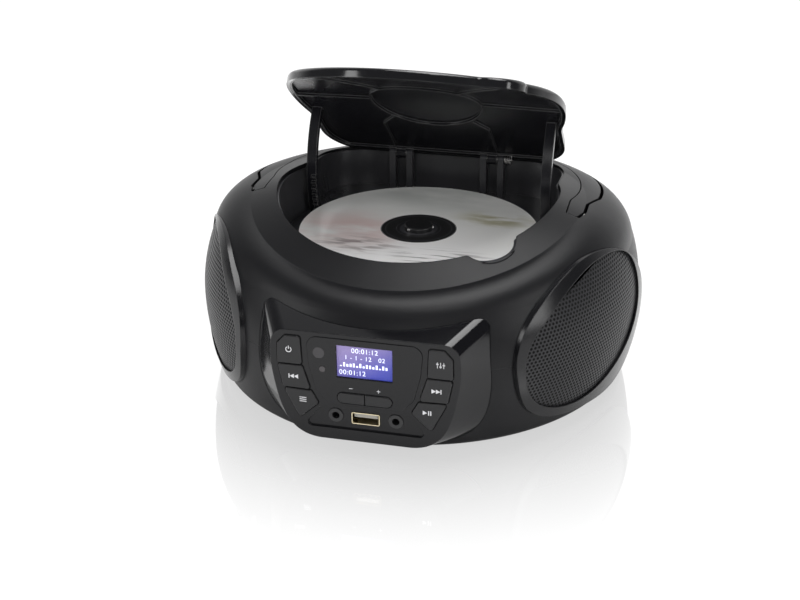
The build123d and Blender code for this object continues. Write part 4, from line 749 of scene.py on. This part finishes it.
def make_piece(name, vertices, faces, material, body, smooth=False):
    """Makes a mesh piece from points in millimetres and lets it ride on a body."""
    mesh = bpy.data.meshes.new(name)
    mesh.from_pydata([tuple(value * MM for value in point) for point in vertices], [], faces)
    mesh.update()
    for polygon in mesh.polygons:
        polygon.use_smooth = smooth
    mesh.materials.append(material)
    piece = bpy.data.objects.new(name, mesh)
    bpy.context.scene.collection.objects.link(piece)
    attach(piece, body)
    return piece


def flat_rings(middle, edge):
    """The middle, then rings that grow to the edge, which is tucked a little under its rim."""
    points = [middle]
    for ring in range(1, RINGS + 1):
        share = ring / RINGS
        for across, z in edge:
            out_across = (across - middle[0]) * share * GRILLE_TUCK
            out_up = (z - middle[1]) * share * GRILLE_TUCK
            points.append((middle[0] + out_across, middle[1] + out_up))
    return points


def fan_faces(count):
    """Triangles round the middle, then bands of quads between rings of so many points."""
    following = [(index + 1) % count for index in range(count)]
    faces = [(0, 1 + here, 1 + there) for here, there in enumerate(following)]
    for ring in range(RINGS - 1):
        near, far = 1 + ring * count, 1 + (ring + 1) * count
        faces += [
            (near + here, far + here, far + there, near + there)
            for here, there in enumerate(following)
        ]
    return faces


flat_points = flat_rings(grille_middle, outline)
for side, name in ((1, "grille_right"), (-1, "grille_left")):
    vertices = []
    for across, z in flat_points:
        x, y, height = on_casing(across, z, GRILLE_PROUD)
        vertices.append((side * x, y, height))
    faces = fan_faces(len(outline))
    if side > 0:
        faces = [tuple(reversed(face)) for face in faces]
    sheet = make_piece(name + "_sheet", vertices, faces, grille_steel, "casing", smooth=True)
    uv = sheet.data.uv_layers.new(name=FLAT_MAP)
    for loop in sheet.data.loops:
        across, z = flat_points[loop.vertex_index]
        uv.data[loop.index].uv = (across * MM, z * MM)
    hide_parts(name)
print("grille faces:", len(faces), "each")

# %% [markdown]
# ## Printed symbols
# The keys carry printed white symbols. Each symbol is a few flat shapes, lifted a hair off its
# key and riding on that key's body, so it travels with it when the key is pressed.

# %% Prepare to print symbols
INK_PROUD, INK_DEEP = 0.04, 0.01

symbol_white = moulded("symbol_white", (0.62, 0.62, 0.64), 0.5, grain=0.0, spread=0.04)


def symbol(name, shapes, x, z, y, body, material=None, size=1.0):
    """Flat shapes, each a list of points across and up, printed on a face at depth y."""
    vertices, faces = [], []
    for shape in shapes:
        first = len(vertices)
        for depth in (y - INK_PROUD, y + INK_DEEP):
            vertices += [(x + across * size, depth, z + up * size) for across, up in shape]
        count = len(shape)
        back = first + count
        faces.append(tuple(range(first, back)))
        faces.append(tuple(reversed(range(back, back + count))))
        for here in range(count):
            there = (here + 1) % count
            faces.append((first + here, back + here, back + there, first + there))
    make_piece(name, vertices, faces, material or symbol_white, body)


def block(x0, z0, x1, z1):
    """A rectangle as a list of corners."""
    return [(x0, z0), (x1, z0), (x1, z1), (x0, z1)]


def bar(x, z, width, height):
    """A rectangle round a middle."""
    return block(x - width / 2, z - height / 2, x + width / 2, z + height / 2)


def arc_band(radius, width, start, stop, steps=14):
    """A band along an arc, in short pieces."""
    pieces = []
    inner, outer = radius - width / 2, radius + width / 2
    for step in range(steps):
        low, high = (radians(start + (stop - start) * end / steps) for end in (step, step + 1))
        corners = ((inner, low), (outer, low), (outer, high), (inner, high))
        pieces.append([(out * cos(turned), out * sin(turned)) for out, turned in corners])
    return pieces


print("symbols stand proud by", INK_PROUD, "mm")

# %% [markdown]
# The symbols are the plain ones of any player: an open ring with a stroke for power, arrows for
# the tracks, three lines for a list, three sliders for the sound, and minus and plus.

# %% Print the symbols
KEY_FACE = -116.8
PLATE_FACE = -116.3
KEY_MARK_SIZE, PLATE_MARK_SIZE = 1.1, 0.8
VOLUME_X, VOLUME_Z = 6.4, 36.6

power_mark = arc_band(1.15, 0.36, 125, 415) + [block(-0.18, 0.3, 0.18, 1.6)]
arrow = [(-0.9, -1.0), (0.9, 0.0), (-0.9, 1.0)]
skip_mark = [[(x + shift, z) for x, z in arrow] for shift in (-1.5, 0.3)] + [block(1.3, -1.0, 1.7, 1.0)]
back_mark = [[(-x, z) for x, z in reversed(shape)] for shape in skip_mark]
play_mark = [[(x - 1.0, z) for x, z in arrow], block(0.3, -1.0, 0.75, 1.0), block(1.2, -1.0, 1.65, 1.0)]
menu_mark = [bar(0.0, z, 3.0, 0.34) for z in (-0.9, 0.0, 0.9)]
slider_mark = [bar(x, 0.0, 0.26, 2.6) for x in (-1.3, 0.0, 1.3)]
slider_mark += [bar(x, z, 1.0, 0.48) for x, z in ((-1.3, 0.5), (0.0, -0.6), (1.3, 0.2))]
minus_mark = [bar(0.0, 0.0, 2.0, 0.32)]
plus_mark = minus_mark + [block(-0.16, 0.16, 0.16, 1.0), block(-0.16, -1.0, 0.16, -0.16)]
KEY_MARKS = {
    "power_key": (power_mark, -34.8, 53.4),
    "equaliser_key": (slider_mark, 34.8, 53.2),
    "previous_key": (back_mark, -33.4, 40.1),
    "next_key": (skip_mark, 33.4, 40.1),
    "menu_key": (menu_mark, -28.9, 28.8),
    "play_key": (play_mark, 28.9, 28.8),
}
for key, (shapes, x, z) in KEY_MARKS.items():
    symbol(key + "_mark", shapes, x, z, KEY_FACE, key + "_body", size=KEY_MARK_SIZE)
symbol("volume_minus_mark", minus_mark, -VOLUME_X, VOLUME_Z, PLATE_FACE, "casing", size=PLATE_MARK_SIZE)
symbol("volume_plus_mark", plus_mark, VOLUME_X, VOLUME_Z, PLATE_FACE, "casing", size=PLATE_MARK_SIZE)
print("symbols:", len(KEY_MARKS) + 2)

# %% [markdown]
# ## Display digits
# The display shows rows of small digits and a row of level bars. Text objects with Blender's own
# letters make the digits: they are curves, so they stay sharp, and they lie just in front of
# the glowing module, behind the window. Lit segments glow, so their shader is mostly emission.

# %% Prepare the digits
MODULE_FACE = -115.1
DIGIT_LIFT = 0.05
DIGIT_SHARE = 0.72
DIGIT_SPACING = 1.08


def glowing(name, colour, strength):
    """A plain glow for lit segments."""
    material, tree = new_finish(name)
    shader = add(
        tree, "BsdfPrincipled", Base_Color=colour + (1,), Roughness=0.5,
        Emission_Color=colour + (1,), Emission_Strength=strength,
    )
    add(tree, "OutputMaterial", Surface=shader.outputs[0])
    return material


segment_white = glowing("segment_white", (0.8, 0.84, 1.0), 0.9)


def digits(name, text, x, z, height, align="LEFT"):
    """A row of digits on the display; x and z are its anchor and its foot in millimetres."""
    curve = bpy.data.curves.new(name, "FONT")
    curve.body = text
    curve.size = height * MM / DIGIT_SHARE
    curve.align_x = align
    curve.space_character = DIGIT_SPACING
    curve.materials.append(segment_white)
    row = bpy.data.objects.new(name, curve)
    row.rotation_euler = (radians(90), 0, 0)
    row.location = (x * MM, (MODULE_FACE - DIGIT_LIFT) * MM, z * MM)
    bpy.context.scene.collection.objects.link(row)
    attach(row, "casing")


print("digits lie", DIGIT_LIFT, "mm in front of the display")

# %% [markdown]
# The third row is a row of bars, as a level meter has. A sine gives them uneven heights that are
# the same each time.

# %% Set the digits and the bars
BAR_COUNT, BAR_PITCH, BAR_WIDTH = 15, 1.5, 0.9
BAR_LEFT, BAR_FOOT = -11.5, -2.1
BAR_SHORTEST, BAR_SWING, BAR_WAVE = 0.5, 1.6, 1.3
BARS_Z = 49

digits("display_row_1", "00:01:12", x=0, z=54.0, height=2.4, align="CENTER")
digits("display_row_2", "1 - 1 - 12   02", x=0, z=50.6, height=2.2, align="CENTER")
bars = []
for index in range(BAR_COUNT):
    left = BAR_LEFT + index * BAR_PITCH
    top = BAR_FOOT + BAR_SHORTEST + BAR_SWING * abs(sin(index * BAR_WAVE))
    bars.append(block(left, BAR_FOOT, left + BAR_WIDTH, top))
symbol("display_bars", bars, 0, BARS_Z, MODULE_FACE, "casing", segment_white)
digits("display_row_4", "00:01:12", x=-12.0, z=43.0, height=2.4)
print("display rows: 4")
